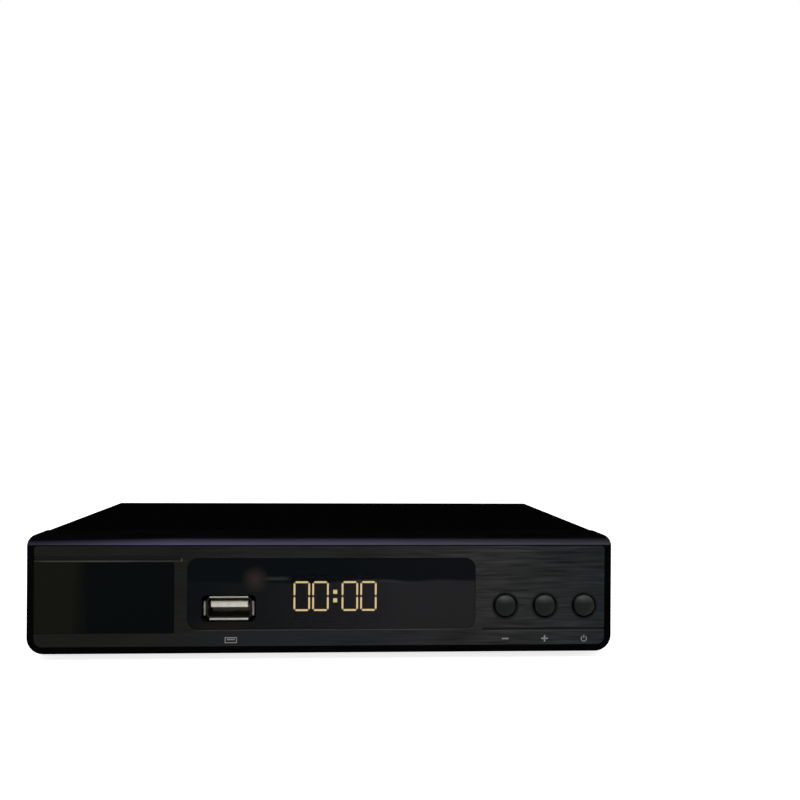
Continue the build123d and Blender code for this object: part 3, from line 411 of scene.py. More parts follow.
def tint(material, source, first, second, start=0.3, end=0.7):
    """Colours the piece from first to second as the source goes from start to end."""
    colour = ramp(material, source, ((start, first), (end, second)))
    join(material, colour, shader_input(material, "Base Color"))
    return colour


def scaled(material, colour, factor):
    """A colour made paler or darker by a factor."""
    paler = node(material, "ShaderNodeVectorMath", operation="SCALE")
    join(material, colour, paler.inputs[0])
    join(material, factor, paler.inputs["Scale"])
    return paler.outputs[0]


def layer(material, under, mask, over):
    """Lays a second colour over the first where the mask is 1. Over is a colour output or three numbers."""
    mix = node(material, "ShaderNodeMix", data_type="RGBA")
    join(material, mask, mix.inputs["Factor"])
    join(material, under, mix.inputs["A"])
    if isinstance(over, tuple):
        mix.inputs["B"].default_value = (*over, 1)
    else:
        join(material, over, mix.inputs["B"])
    join(material, mix.outputs["Result"], shader_input(material, "Base Color"))
    return mix.outputs["Result"]


def gloss(material, source, low, high):
    """Varies the roughness."""
    join(material, spread(material, source, low, high), shader_input(material, "Roughness"))


def relief(material, source, height, strength=1.0):
    """Raises the surface by height millimetres where the noise is high."""
    bump = node(material, "ShaderNodeBump")
    bump.inputs["Strength"].default_value = strength
    bump.inputs["Distance"].default_value = height * MM
    join(material, source, bump.inputs["Height"])
    join(material, bump.outputs["Normal"], shader_input(material, "Normal"))


def speckled(name, roughness, size, dark, pale, *nodes, metallic=0.0, specular=0.5, stretch=(1, 1, 1)):
    """A finish with a faint speckle between two tones, given to its nodes."""
    material = finish(name, dark, roughness, metallic, specular)
    tint(material, grain(material, size, stretch), dark, pale)
    dress(material, *nodes)
    return material


print("colour helpers ready")

# %% [markdown]
# ### Black case and feet
# The cover and tray are steel with a black powder coat, which is a fine orange-peel relief with
# hardly any shine. The cover's flat top is painted darker than its sides, as painted shade: seen
# at a low angle, even a dull black sheet picks up light, and the painted shade keeps the top a deep black.

# %% Case and feet
SHADED_TOP_HEIGHTS = (36.2, 37.1)


def powder_coat(name, dark, pale, roughness, specular):
    """Powder coat between two tones, with a fine orange-peel relief."""
    coat = finish(name, dark, roughness, specular=specular)
    peel = grain(coat, 0.5, detail=2.0)
    gloss(coat, grain(coat, 6.0), roughness - 0.06, roughness + 0.06)
    relief(coat, peel, 0.02, 0.4)
    return coat, tint(coat, peel, dark, pale)


cover_black, cover_tone = powder_coat(
    "cover_black", (0.0085, 0.0085, 0.0090), (0.0125, 0.0125, 0.0130), 0.85, 0.0
)
_, _, cover_z = place_of(cover_black)
# Painted shade: the cover's flat top is drawn darker than its sides.
layer(cover_black, cover_tone, slope(cover_black, cover_z, 0, 1, *SHADED_TOP_HEIGHTS), (0.0010, 0.0010, 0.0011))
dress(cover_black, "top_cover")
tray_black, _ = powder_coat(
    "tray_black", (0.0034, 0.0034, 0.0036), (0.0056, 0.0056, 0.006), 0.55, 0.16
)
dress(tray_black, "chassis_tray")

foot_rubber = speckled(
    "foot_rubber", 0.85, 0.3, (0.014, 0.014, 0.014), (0.028, 0.028, 0.028), "rubber_feet", specular=0.25
)
relief(foot_rubber, grain(foot_rubber, 0.3), 0.05, 0.6)
print("case finishes:", cover_black.name, tray_black.name, foot_rubber.name)

# %% [markdown]
# ### Bezel
# The bezel is moulded plastic with a smoother skin, so it catches a long soft highlight along
# its rounded top edge. Lamps alone leave that highlight too faint, so it is painted into the colour
# there as a band, a painted highlight. It gets fainter and a little narrower to the left, and fainter
# to the right. The flanks are painted paler than the front, and so are the sleeves round the keys,
# as painted light, or the gaps there would go quite black.

# %% Bezel
# Each pair says between which two places along its axis a change starts and is complete.
HIGHLIGHT_FOOT = (34.45, 34.6)
HIGHLIGHT_FADE = (34.7, 36.6)
LEFT_END = (-84, -45)
RIGHT_END = (0, 75)
LIT_FLANK_DEPTH = (-57, -54)
LIT_FLANK_HEIGHT = (32.5, 34)

bezel_plastic = finish("bezel_plastic", (0.001, 0.001, 0.0013), 0.45, specular=0.0)
bezel_x, bezel_y, bezel_z = place_of(bezel_plastic)
bezel_mottle = grain(bezel_plastic, 9.0)
bezel_tone = tint(bezel_plastic, bezel_mottle, (0.0012, 0.0012, 0.0014), (0.0022, 0.0021, 0.0026))
# Painted light: the flanks are drawn paler than the front.
painted_flank_light = product(
    bezel_plastic,
    slope(bezel_plastic, bezel_y, 0, 1, *LIT_FLANK_DEPTH),
    slope(bezel_plastic, bezel_z, 1, 0, *LIT_FLANK_HEIGHT),
)
flank_lit = layer(bezel_plastic, bezel_tone, painted_flank_light, (0.0075, 0.0075, 0.0080))
# Painted highlight: a violet-grey band along the rounded top edge, narrower to the left.
narrowed = total(bezel_plastic, bezel_z, slope(bezel_plastic, bezel_x, 0.7 * MM, 0, *LEFT_END))
painted_highlight_band = product(
    bezel_plastic,
    slope(bezel_plastic, bezel_z, 0, 1, *HIGHLIGHT_FOOT),
    slope(bezel_plastic, narrowed, 1, 0, *HIGHLIGHT_FADE),
    slope(bezel_plastic, bezel_x, 0.62, 1, *LEFT_END),
    slope(bezel_plastic, bezel_x, 1, 0.63, *RIGHT_END),
    spread(bezel_plastic, grain(bezel_plastic, 40.0, detail=1.0), 0.85, 1),
)
violet, grey = (0.078, 0.071, 0.118), (0.082, 0.080, 0.100)
highlight_colour = ramp(bezel_plastic, slope(bezel_plastic, bezel_x, 0, 1, 0, 70), ((0, violet), (1, grey)))
highlight_laid = layer(bezel_plastic, flank_lit, painted_highlight_band, highlight_colour)
# Painted light: the sleeves round the keys are drawn paler, so the gaps there do not go black.
layer(bezel_plastic, highlight_laid, discs(bezel_plastic, KEY_MIDDLES, 3.9, 4.1), (0.05, 0.05, 0.05))
skin = grain(bezel_plastic, 0.35, detail=2.0)
gloss(bezel_plastic, skin, 0.36, 0.44)
relief(bezel_plastic, skin, 0.01, 0.35)
dress(bezel_plastic, "front_bezel")
print("bezel finish with", len(bezel_plastic.node_tree.nodes), "nodes")

# %% [markdown]
# ### Brushed face plate
# Brushing leaves thousands of fine scratches in one direction. Noise that is drawn out twenty to
# forty times along x gives them, and a slower noise bends them, so that they look like wavy dark
# and pale streaks instead of ruled lines. A broad third noise changes the tone at random, and a
# slow ramp along the plate, from olive black at the left to grey at the right, is painted reflection.

# %% Brushed plate
PLATE_REFLECTION_TONES = (
    (0.0, (0.0050, 0.0052, 0.0035)), (0.25, (0.0062, 0.0064, 0.0052)), (0.55, (0.0085, 0.0086, 0.0090)),
    (0.80, (0.0170, 0.0172, 0.0165)), (0.93, (0.0120, 0.0128, 0.0132)), (1.0, (0.0085, 0.0108, 0.0122)),
)

plate_metal = finish("plate_metal", (0.02, 0.02, 0.019), 0.42, specular=0.06)
plate_x, plate_y, plate_z = place_of(plate_metal)
wander = grain(plate_metal, 11.0, (2.4, 1, 0.5), detail=2.0, turn=3.1)
bent_place = vector_of(plate_metal, plate_x, plate_y, swayed(plate_metal, plate_z, wander, 1.6))


def streaks(width, length, detail, turn):
    """Streaks of a width and a length in millimetres, on the bent coordinates."""
    scale = (1 / (MM * length), 1, 1 / (MM * width))
    return mapped_noise(plate_metal, bent_place, scale, (turn, 0, turn * 1.7), detail)


broad = streaks(0.85, 16.0, 4.0, 1.0)
fine = streaks(0.22, 9.0, 3.0, 7.0)
patches = grain(plate_metal, 24.0, (1.3, 1, 0.6), detail=2.0, turn=5.0)
# Painted reflection: the ramp along x, from olive black to grey.
along = slope(plate_metal, plate_x, 0, 1, PLATE_LEFT, PLATE_RIGHT)
streak_depth = product(
    plate_metal,
    spread(plate_metal, broad, -0.62, 0.75, 0.32, 0.68),
    slope(plate_metal, plate_x, 0.35, 1, -50, 50),
)
brightness = product(
    plate_metal,
    total(plate_metal, streak_depth, spread(plate_metal, patches, 0.75, 1.25)),
    spread(plate_metal, fine, 0.78, 1.22),
)
brushed = scaled(plate_metal, ramp(plate_metal, along, PLATE_REFLECTION_TONES), brightness)
print("brushed tone with", len(plate_metal.node_tree.nodes), "nodes")

# %% [markdown]
# Shallow grooves run above the gloss panel, with a tick at the end, and under the keys. The light
# caught by their lower edges and by the tick, and a faint line of light under the window, are drawn
# as thin pale lines on the finish: painted highlights. Round each key and down the plate's cut edges
# it is painted darker, as painted shade, because little light gets there.

# %% Lines, rings and edges of the plate
# Painted highlights: thin pale lines along the grooves' lower edges, the tick and the window's lower edge.
drawn = spread(plate_metal, streaks(3.0, 22.0, 2.0, 12.0), 0.35, 1.0)
left_edge_highlight = block(plate_metal, plate_x, (-83.0, -42.6, 6.0), plate_z, (29.5, 29.9, 0.3), drawn, 0.75)
tick_highlight = block(plate_metal, plate_x, (-42.2, -41.8, 0.4), plate_z, (29.7, 30.6, 0.3), 0.7)
right_edge_highlight = block(plate_metal, plate_x, (48.5, 84.0, 3.0), plate_z, (8.55, 8.8, 0.3), drawn, 0.55)
window_edge_highlight = block(plate_metal, plate_x, (-36.0, 42.0, 6.0), plate_z, (9.05, 9.4, 0.3), drawn, 0.6)
painted_edge_highlights = total(plate_metal, left_edge_highlight, tick_highlight, right_edge_highlight, window_edge_highlight)
cool = block(plate_metal, plate_x, (-36.0, 26.0, 30.0), plate_z, (3.0, 8.8, 0.6), 0.4)
cooled = layer(plate_metal, brushed, cool, (0.0155, 0.0168, 0.0220))
edge_lit = layer(plate_metal, cooled, painted_edge_highlights, (0.075, 0.077, 0.072))
ringed = layer(plate_metal, edge_lit, discs(plate_metal, KEY_MIDDLES, 3.85, 4.5), (0.0045, 0.0048, 0.0047))
sunk = slope(plate_metal, plate_y, 0, 0.75, PLATE_FRONT + 0.05, PLATE_FRONT + 0.2)
layer(plate_metal, ringed, sunk, (0.003, 0.003, 0.0028))
gloss(plate_metal, broad, 0.36, 0.5)
relief(plate_metal, fine, 0.02, 0.5)
dress(plate_metal, "face_plate")
print("plate finish with", len(plate_metal.node_tree.nodes), "nodes")

# %% [markdown]
# ### Gloss panel
# The smooth panel at the left is nearly black. Its outer end is warmer than the rest, with a
# ragged edge between the two tones, so the place where they meet is swayed by noise.

# %% Gloss inlay
inlay_gloss = finish("inlay_gloss", (0.0032, 0.0042, 0.005), 0.12, specular=0.008)
inlay_x, _, _ = place_of(inlay_gloss)
ragged = swayed(inlay_gloss, inlay_x, grain(inlay_gloss, 2.5, (1, 1, 8), detail=2.0), 4)
warm_to_cool = slope(inlay_gloss, ragged, 0, 1, -73, -66)
tint(inlay_gloss, warm_to_cool, (0.0068, 0.0071, 0.0048), (0.0020, 0.0028, 0.0030), 0.2, 0.9)
gloss(inlay_gloss, grain(inlay_gloss, 12.0), 0.10, 0.16)
dress(inlay_gloss, "inlay_plate")
print("inlay finish with", len(inlay_gloss.node_tree.nodes), "nodes")

# %% [markdown]
# ### Smoked window
# The window is tinted plastic: nearly black, but thin enough for the digits to shine through.
# Real glass shading would be slow and noisy for such a thin pane. So its front is drawn as a dark
# glossy skin of which a small share is left see-through, and the rest of the pane is left clear.
# Light is painted into the tint: a paler lower part with a pale broken line along its edge is
# painted reflection, a short bright streak is a painted highlight, a warm soft spot over the
# receiver is a painted glow, and a warmer patch lies low at the left.

# %% Tint of the window
smoked_window = finish("smoked_window", (0.003, 0.004, 0.005), 0.08, specular=0.012)
window_x, window_y, window_z = place_of(smoked_window)
swell = swayed(smoked_window, window_z, grain(smoked_window, 9.0, (2.2, 1, 1), detail=1.0, turn=2.0), 3.5)
to_the_right = slope(smoked_window, window_x, 0, 1, 0, 30)
upper_tone = tint(smoked_window, to_the_right, (0.0020, 0.0034, 0.0044), (0.0036, 0.0041, 0.0056), 0, 1)
# Painted reflection: the lower part of the window is drawn paler.
paler = product(
    smoked_window,
    slope(smoked_window, swell, 1, 0, 25.0, 25.7),
    slope(smoked_window, window_x, 0.12, 1, -34, 24),
)
window_tone = layer(smoked_window, upper_tone, paler, (0.0152, 0.0148, 0.0156))
broken = spread(smoked_window, grain(smoked_window, 14.0, (1.6, 1, 1), 1.0, 8.0), 0, 0.55, 0.42, 0.62)
# Painted reflection: a pale broken line along the edge of that paler part.
painted_reflection_edge = block(smoked_window, window_x, (-15.0, 40.0, 6.0), swell, (24.9, 25.4, 0.7), broken)
reflection_edged = layer(smoked_window, window_tone, painted_reflection_edge, (0.034, 0.034, 0.032))
# Painted highlight: a short bright streak at the left end of the reflection.
painted_glint = block(smoked_window, window_x, (-17.5, -10.5, 3.0), window_z, (24.2, 24.8, 1.0), 0.7)
glinted = layer(smoked_window, reflection_edged, painted_glint, (0.040, 0.042, 0.040))
# Painted glow: a warm soft spot where the receiver sits behind the window.
receiver_glow_spot = disc(smoked_window, (-20.3, 24.3), 0.3, 4.2)
glow_laid = layer(smoked_window, glinted, receiver_glow_spot, (0.026, 0.0195, 0.0165))
warm = block(smoked_window, window_x, (-38.0, -22.0, 8.0), window_z, (8.0, 11.5, 3.0), 0.8)
warmed = layer(smoked_window, glow_laid, warm, (0.0110, 0.0088, 0.0060))
gloss(smoked_window, grain(smoked_window, 15.0), 0.06, 0.11)
print("window tint with", len(smoked_window.node_tree.nodes), "nodes")

# %% [markdown]
# Only in front of the display and the receiver does the skin let something through. In front of
# the display the colour is raised a little, to make up for the share that is lost.

# %% See-through panes
DISPLAY_SHARE = 0.1
RECEIVER_SHARE = 0.02
SKIN_OPACITY = 0.998

display_pane = block(
    smoked_window, window_x, (-10.5, 17.5, 1.5), window_z, (11.5, 25.5, 1.5), DISPLAY_SHARE
)
receiver_pane = block(
    smoked_window, window_x, (-23.5, -16.5, 3.0), window_z, (20.0, 27.5, 3.0), RECEIVER_SHARE
)
made_up = spread(smoked_window, display_pane, 1, 1.08, 0, DISPLAY_SHARE)
join(smoked_window, scaled(smoked_window, warmed, made_up), shader_input(smoked_window, "Base Color"))
panes = total(smoked_window, display_pane, receiver_pane)
opacity = worked_out(smoked_window, "SUBTRACT", SKIN_OPACITY, panes)
front_skin = slope(smoked_window, window_y, 1, 0, -58.4, -58.2)
join(smoked_window, product(smoked_window, opacity, front_skin), shader_input(smoked_window, "Alpha"))
dress(smoked_window, "display_window")
print("window opacity", SKIN_OPACITY, "outside the see-through panes")

# %% [markdown]
# ### Display and receiver
# The lit segments are the only lamps on the box. Their strength looks high because the smoked
# window takes most of it away.

# %% Display finishes
SEGMENT_STRENGTH = 6.2

speckled(
    "display_black", 0.5, 3.0, (0.012, 0.008, 0.004), (0.018, 0.012, 0.006), "display_housing", specular=0.2
)
speckled("segment_dark", 0.5, 0.6, (0.014, 0.01, 0.007), (0.024, 0.018, 0.012), "unlit_segments")
# Painted glow: the receiver is drawn pale brown, so that it shows through the window as a soft glow.
speckled("receiver_dark", 0.3, 2.0, (0.20, 0.16, 0.12), (0.30, 0.24, 0.18), "remote_receiver")
segment_lit = finish("segment_lit", (0.9, 0.6, 0.25), 0.5)
amber, pale_amber = (1.0, 0.72, 0.34), (1.0, 0.80, 0.42)
ember = ramp(segment_lit, grain(segment_lit, 1.2), ((0, amber), (1, pale_amber)))
join(segment_lit, ember, shader_input(segment_lit, "Emission Color"))
shader_input(segment_lit, "Emission Strength").default_value = SEGMENT_STRENGTH
dress(segment_lit, "lit_segments")
print("display strength", SEGMENT_STRENGTH)

# %% [markdown]
# ### Data socket
# The data socket's shell is plated steel, its tongue is pale nylon, and its contacts are plated
# with gold. A socket swallows light, so the shell and the tongue are painted darker towards the
# inside, as painted shade. The flared lower lip at the mouth is painted very pale, a painted
# highlight, and the upper lip is painted darker, a painted shade.

# %% Data socket finishes
shell_plated = finish("shell_plated", (0.45, 0.44, 0.41), 0.3, metallic=1.0)
wear = grain(shell_plated, 1.6, (3, 1, 1))
shell_tone = tint(shell_plated, wear, (0.30, 0.29, 0.26), (0.55, 0.54, 0.50))
_, shell_y, shell_z = place_of(shell_plated)
deep = product(
    shell_plated,
    slope(shell_plated, shell_y, 0, 1, -58.3, -57.7),
    slope(shell_plated, shell_y, 1, 0, -45, -44),
)
shaded = layer(shell_plated, shell_tone, deep, (0.015, 0.0135, 0.010))
lips = slope(shell_plated, shell_y, 1, 0, -58.1, -57.7)
# Painted shade on the upper lip and a painted highlight on the lower lip.
shaded_upper_lip = product(shell_plated, slope(shell_plated, shell_z, 0, 1, 17.8, 18.2), lips)
highlighted_lower_lip = product(shell_plated, slope(shell_plated, shell_z, 1, 0, 13.1, 13.5), lips)
lip_shaded = layer(shell_plated, shaded, shaded_upper_lip, (0.24, 0.225, 0.19))
layer(shell_plated, lip_shaded, highlighted_lower_lip, (0.92, 0.90, 0.83))
gloss(shell_plated, wear, 0.34, 0.5)
relief(shell_plated, grain(shell_plated, 0.15, (6, 1, 1)), 0.006, 0.4)
dress(shell_plated, "data_port_shell", "video_port_shell")

tongue_white = finish("tongue_white", (0.62, 0.60, 0.54), 0.45)
tongue_tone = tint(tongue_white, grain(tongue_white, 2.0), (0.62, 0.60, 0.51), (0.76, 0.74, 0.64))
_, tongue_y, _ = place_of(tongue_white)
layer(tongue_white, tongue_tone, slope(tongue_white, tongue_y, 0, 1, -56, -53), (0.15, 0.14, 0.11))
relief(tongue_white, grain(tongue_white, 0.2), 0.008, 0.4)
dress(tongue_white, "data_port_tongue")
# Painted shade: the gold contacts are drawn dark, as they lie under the tongue.
speckled(
    "contact_gold", 0.4, 0.5, (0.045, 0.034, 0.016), (0.11, 0.08, 0.042), "data_port_contacts",
    metallic=1.0, stretch=(1, 3, 1),
)
print("data socket finishes:", shell_plated.name, tongue_white.name)

# %% [markdown]
# ### Boards, chips and metal inside
# The vents and sockets let some of the inside show, so these pieces get their own finishes:
# green solder mask, tinned steel, black moulded packages, bare and anodised aluminium. The front
# board's mask is drawn nearly black, as it lies in the bezel's shade.

# %% Inner finishes
board_green = finish("board_green", (0.003, 0.012, 0.006), 0.45, specular=0.2)
weave = grain(board_green, 1.1, detail=5.0)
board_tone = tint(board_green, weave, (0.002, 0.008, 0.004), (0.005, 0.018, 0.009))
_, board_y, _ = place_of(board_green)
layer(board_green, board_tone, slope(board_green, board_y, 1, 0, -52, -50), (0.007, 0.0065, 0.005))
relief(board_green, grain(board_green, 0.5), 0.02, 0.5)
dress(board_green, "front_board", "main_board")

speckled(
    "chip_black", 0.6, 0.2, (0.013, 0.013, 0.015), (0.026, 0.026, 0.028),
    "processor", "memory_chip", "flash_chip", "regulators", "power_inductors", specular=0.35,
)
speckled(
    "sink_aluminium", 0.38, 0.4, (0.4, 0.4, 0.42), (0.6, 0.6, 0.62), "heat_sink",
    metallic=1.0, stretch=(1, 12, 1),
)
speckled("pad_grey", 0.8, 0.4, (0.26, 0.27, 0.29), (0.34, 0.35, 0.37), "thermal_pad")
speckled(
    "tuner_steel", 0.35, 3.0, (0.4, 0.4, 0.38), (0.56, 0.56, 0.54), "tuner_frame", "tuner_lid", metallic=1.0
)
screw_steel = speckled(
    "screw_steel", 0.32, 0.7, (0.26, 0.26, 0.25), (0.42, 0.42, 0.40),
    "front_board_screws", "bezel_screws", "board_screws", metallic=1.0,
)
speckled("standoff_brass", 0.34, 0.8, (0.52, 0.36, 0.14), (0.68, 0.5, 0.22), "board_standoffs", metallic=1.0)
speckled("leg_tin", 0.35, 0.8, (0.5, 0.5, 0.5), (0.66, 0.66, 0.66), "receiver_legs", "crystal", metallic=1.0)
speckled("can_sleeve", 0.3, 4.0, (0.014, 0.02, 0.045), (0.028, 0.04, 0.08), "electrolytic_capacitors")
speckled("header_cream", 0.5, 1.0, (0.54, 0.49, 0.37), (0.64, 0.6, 0.46), "ribbon_headers")
speckled(
    "ribbon_grey", 0.5, 0.6, (0.3, 0.3, 0.32), (0.5, 0.5, 0.52), "front_ribbon_cable", stretch=(1, 30, 30)
)
speckled("switch_steel", 0.3, 0.8, (0.42, 0.42, 0.42), (0.58, 0.58, 0.58), "tact_switch_bodies", metallic=1.0)
speckled(
    "plunger_plastic", 0.45, 0.5, (0.015, 0.015, 0.015), (0.027, 0.027, 0.027),
    "channel_down_plunger", "channel_up_plunger", "power_plunger",
)
block_black = speckled(
    "block_black", 0.45, 0.5, (0.009, 0.009, 0.010), (0.018, 0.018, 0.019),
    "jack_block", "video_port_tongue", "power_inlet",
)
relief(block_black, grain(block_black, 0.25), 0.01, 0.4)
print("materials so far:", len(bpy.data.materials))

# %% [markdown]
# ## Turned pieces
# Keys, sockets and screw heads are all round about one axis, as if turned on a lathe. A spin of
# a drawn outline would make them, but growing them ring by ring shows better how a form is
# built: start with a circle, extrude it along the axis, resize it, and repeat. Each helper
# works in edit mode on what is selected, which is always the last ring. A lone ring has no faces,
# so it can only be selected by its points, and the select mode is set to points first.

# %% Helpers for turned pieces
AXES = {"x": Vector((1, 0, 0)), "y": Vector((0, 1, 0))}
FACING = {"x": (0, math.pi / 2, 0), "y": (math.pi / 2, 0, 0)}


def apply_place():
    """Puts the active piece's place, turn and size into its mesh."""
    bpy.ops.object.transform_apply(location=True, rotation=True, scale=True)


def start_edit():
    """Opens the active piece in edit mode, with all of it selected."""
    bpy.ops.object.mode_set(mode="EDIT")
    bpy.ops.mesh.select_all(action="SELECT")


def end_edit(piece, angle=35):
    """Merges doubles, turns the faces outwards and smooths all but the sharp edges."""
    bpy.ops.mesh.select_all(action="SELECT")
    bpy.ops.mesh.remove_doubles(threshold=0.002 * MM)
    bpy.ops.mesh.normals_make_consistent(inside=False)
    bpy.ops.object.mode_set(mode="OBJECT")
    bpy.ops.object.shade_smooth_by_angle(angle=math.radians(angle))
    return piece


def open_ring(name, centre, radius, axis, sides):
    """A circle in edit mode, with its place already in its mesh."""
    bpy.ops.object.select_all(action="DESELECT")
    bpy.ops.mesh.primitive_circle_add(
        vertices=sides, radius=radius * MM, location=Vector(centre) * MM, rotation=FACING[axis]
    )
    piece = bpy.context.object
    piece.name = name
    apply_place()
    bpy.ops.object.mode_set(mode="EDIT")
    bpy.ops.mesh.select_mode(type="VERT")
    bpy.ops.mesh.select_all(action="SELECT")
    return piece


def grow(centre, axis, rings):
    """Extrudes the selected ring through (radius, distance along the axis) pairs."""
    way = AXES[axis]
    radius, reach = rings[0]
    for next_radius, next_reach in rings[1:]:
        step = way * ((next_reach - reach) * MM)
        bpy.ops.mesh.extrude_region_move(TRANSFORM_OT_translate={"value": step})
        if next_radius == 0:
            bpy.ops.mesh.merge(type="CENTER")
            return
        factor = next_radius / radius
        bpy.ops.transform.resize(
            value=tuple(1 if w else factor for w in way),
            center_override=(Vector(centre) + way * next_reach) * MM,
        )
        radius, reach = next_radius, next_reach


print("ring helpers ready")

# %% [markdown]
# A solid piece closes its first ring with a face and its last with a point. A hollow one comes
# back to where it began, and the first and last rings are bridged into one wall.

# %% Solid and hollow turned pieces
def first_ring(name, centre, axis, rings, sides):
    """The circle that a turned piece grows from."""
    radius, reach = rings[0]
    return open_ring(name, Vector(centre) + AXES[axis] * reach, radius, axis, sides)


def turned(name, centre, axis, rings, sides=64, angle=35):
    """A closed turned piece, whose last ring is a point on the axis."""
    piece = first_ring(name, centre, axis, rings, sides)
    bpy.ops.mesh.edge_face_add()
    grow(centre, axis, rings)
    return end_edit(piece, angle)


def tube(name, centre, axis, rings, sides=64, angle=35):
    """A turned piece with a hole: the last ring comes back to the first and is bridged to it."""
    piece = first_ring(name, centre, axis, rings, sides)
    grow(centre, axis, rings)
    bpy.ops.mesh.select_all(action="DESELECT")
    bpy.ops.mesh.select_mode(type="EDGE")
    bpy.ops.mesh.select_non_manifold(extend=False)
    bpy.ops.mesh.bridge_edge_loops()
    return end_edit(piece, angle)


print("turning helpers ready")

# %% [markdown]
# What repeats is modelled once and copied. Each copy has a mesh of its own, and its new place is
# put into that mesh at once, because a pattern would slide on a piece that is only moved.

# %% Helpers to copy, join and seat
def only(*pieces):
    """Selects these pieces and makes the first one active."""
    bpy.ops.object.select_all(action="DESELECT")
    for piece in pieces:
        piece.select_set(True)
    bpy.context.view_layer.objects.active = pieces[0]


def copied(piece, name, move, turn=0):
    """A copy with its own mesh, turned about z through the origin and then moved by millimetres."""
    only(piece)
    bpy.ops.object.duplicate(linked=False)
    twin = bpy.context.object
    twin.name = name
    twin.rotation_euler = (0, 0, turn)
    twin.location = Vector(move) * MM
    apply_place()
    return twin


def joined(name, *pieces):
    """Several pieces as one object."""
    only(*pieces)
    bpy.ops.object.join()
    pieces[0].name = name
    return pieces[0]


def seat(piece, body, material, slot, *nodes):
    """Dresses a finished piece, lets it ride on its body and hides the nodes it stands for."""
    piece.data.materials.clear()
    piece.data.materials.append(material)
    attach(piece, body)
    if nodes:
        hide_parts(*nodes)
    size = tuple(round(v / MM, 2) for v in piece.dimensions)
    print(piece.name, len(piece.data.polygons), "faces,", size, "mm")


print("copying helpers ready")

# %% [markdown]
# ## Keys
# Each key is a low dome in a black ring of shadow: the gap round it shows the dark guide sleeve.
# A sphere would be far too tall, so the dome's rings follow a large circle of which only the cap
# is used. Behind the plate the key has a flange, which keeps it in, and a square stem.

# %% Key finish
HIGHLIGHT_HEIGHTS = (16.4, 18.5)

key_plastic = finish("key_plastic", (0.0024, 0.0027, 0.0027), 0.34, specular=0.1)
key_tone = tint(key_plastic, grain(key_plastic, 2.2), (0.0018, 0.0021, 0.0021), (0.0030, 0.0034, 0.0034))
_, _, key_z = place_of(key_plastic)
# Painted highlight: the dome is drawn paler towards its upper rim, where a lamp would catch it.
painted_crown_highlight = slope(key_plastic, key_z, 0, 1, *HIGHLIGHT_HEIGHTS)
layer(key_plastic, key_tone, product(key_plastic, painted_crown_highlight, painted_crown_highlight), (0.037, 0.038, 0.0375))
gloss(key_plastic, grain(key_plastic, 0.5), 0.34, 0.40)
relief(key_plastic, grain(key_plastic, 0.3), 0.008, 0.3)
print("key finish:", key_plastic.name)

# %% [markdown]
# The key's rings are written as distances behind the plate's front, so those of the dome, which
# stands out of the plate, are below zero.

# %% Keys
KEY_RADIUS, RIM_HEIGHT, DOME_HEIGHT = 3.15, 0.35, 1.05
FLANGE_RADIUS, FLANGE_FRONT, FLANGE_BACK = 4.3, 2.7, 3.7
STEM_WIDTH, STEM_LENGTH, STEM_MIDDLE, STEM_BEVEL = 3, 2.6, 5.0, 0.2
DOME_STEPS = 12

dome_radius = (KEY_RADIUS ** 2 + DOME_HEIGHT ** 2) / (2 * DOME_HEIGHT)
key_rings = [
    (FLANGE_RADIUS, FLANGE_BACK), (FLANGE_RADIUS, FLANGE_FRONT), (KEY_RADIUS, FLANGE_FRONT),
    (KEY_RADIUS, 0.15 - RIM_HEIGHT), (KEY_RADIUS - 0.05, 0.04 - RIM_HEIGHT),
]
for step in range(1, DOME_STEPS):
    lean = math.asin(KEY_RADIUS / dome_radius) * (1 - step / DOME_STEPS)
    sunk_from_top = dome_radius * (1 - math.cos(lean))
    key_rings.append((dome_radius * math.sin(lean), sunk_from_top - DOME_HEIGHT - RIM_HEIGHT))
key_rings.append((0, -DOME_HEIGHT - RIM_HEIGHT))


def stem(name, x, z):
    """The key's square stem, with its edges broken."""
    bpy.ops.object.select_all(action="DESELECT")
    place = Vector((x, PLATE_FRONT + STEM_MIDDLE, z)) * MM
    size = Vector((STEM_WIDTH, STEM_LENGTH, STEM_WIDTH)) * MM
    bpy.ops.mesh.primitive_cube_add(size=1, location=place, scale=size)
    made = bpy.context.object
    made.name = name
    apply_place()
    start_edit()
    bpy.ops.mesh.bevel(offset=STEM_BEVEL * MM, segments=2, affect="EDGES")
    bpy.ops.object.mode_set(mode="OBJECT")
    return made


key_x, key_height = KEY_MIDDLES[0]
first_key = turned("first_key", (key_x, PLATE_FRONT, key_height), "y", key_rings, 72)
first_key = joined("channel_down_dome", first_key, stem("first_stem", key_x, key_height))
second_key = copied(first_key, "channel_up_dome", (UP_KEY_X - DOWN_KEY_X, 0, 0))
third_key = copied(first_key, "power_dome", (POWER_KEY_X - DOWN_KEY_X, 0, 0))
seat(first_key, "channel_down", key_plastic, "key_plastic", "channel_down_key")
seat(second_key, "channel_up", key_plastic, "key_plastic", "channel_up_key")
seat(third_key, "power", key_plastic, "key_plastic", "power_key")

# %% [markdown]
# ## Printed marks
# The marks under the keys are screen printed: a minus, a plus and the usual sign for power.
# Under the data socket is the outline of a plain socket. Ink has almost no thickness, but a flat
# face on the plate would flicker with it, so each mark is a face extruded by a few hundredths of
# a millimetre. The bars of one mark meet edge to edge or stay apart, and never cross.

# %% Helpers for printed marks
INK_THICKNESS = 0.03
MARK_HEIGHT = 6.3

mark_ink = speckled("mark_ink", 0.55, 0.35, (0.15, 0.15, 0.14), (0.22, 0.22, 0.205), specular=0.2)


def print_face(piece):
    """Gives the selected flat face its thin layer of ink."""
    bpy.ops.mesh.extrude_region_move(TRANSFORM_OT_translate={"value": (0, -INK_THICKNESS * MM, 0)})
    return end_edit(piece)


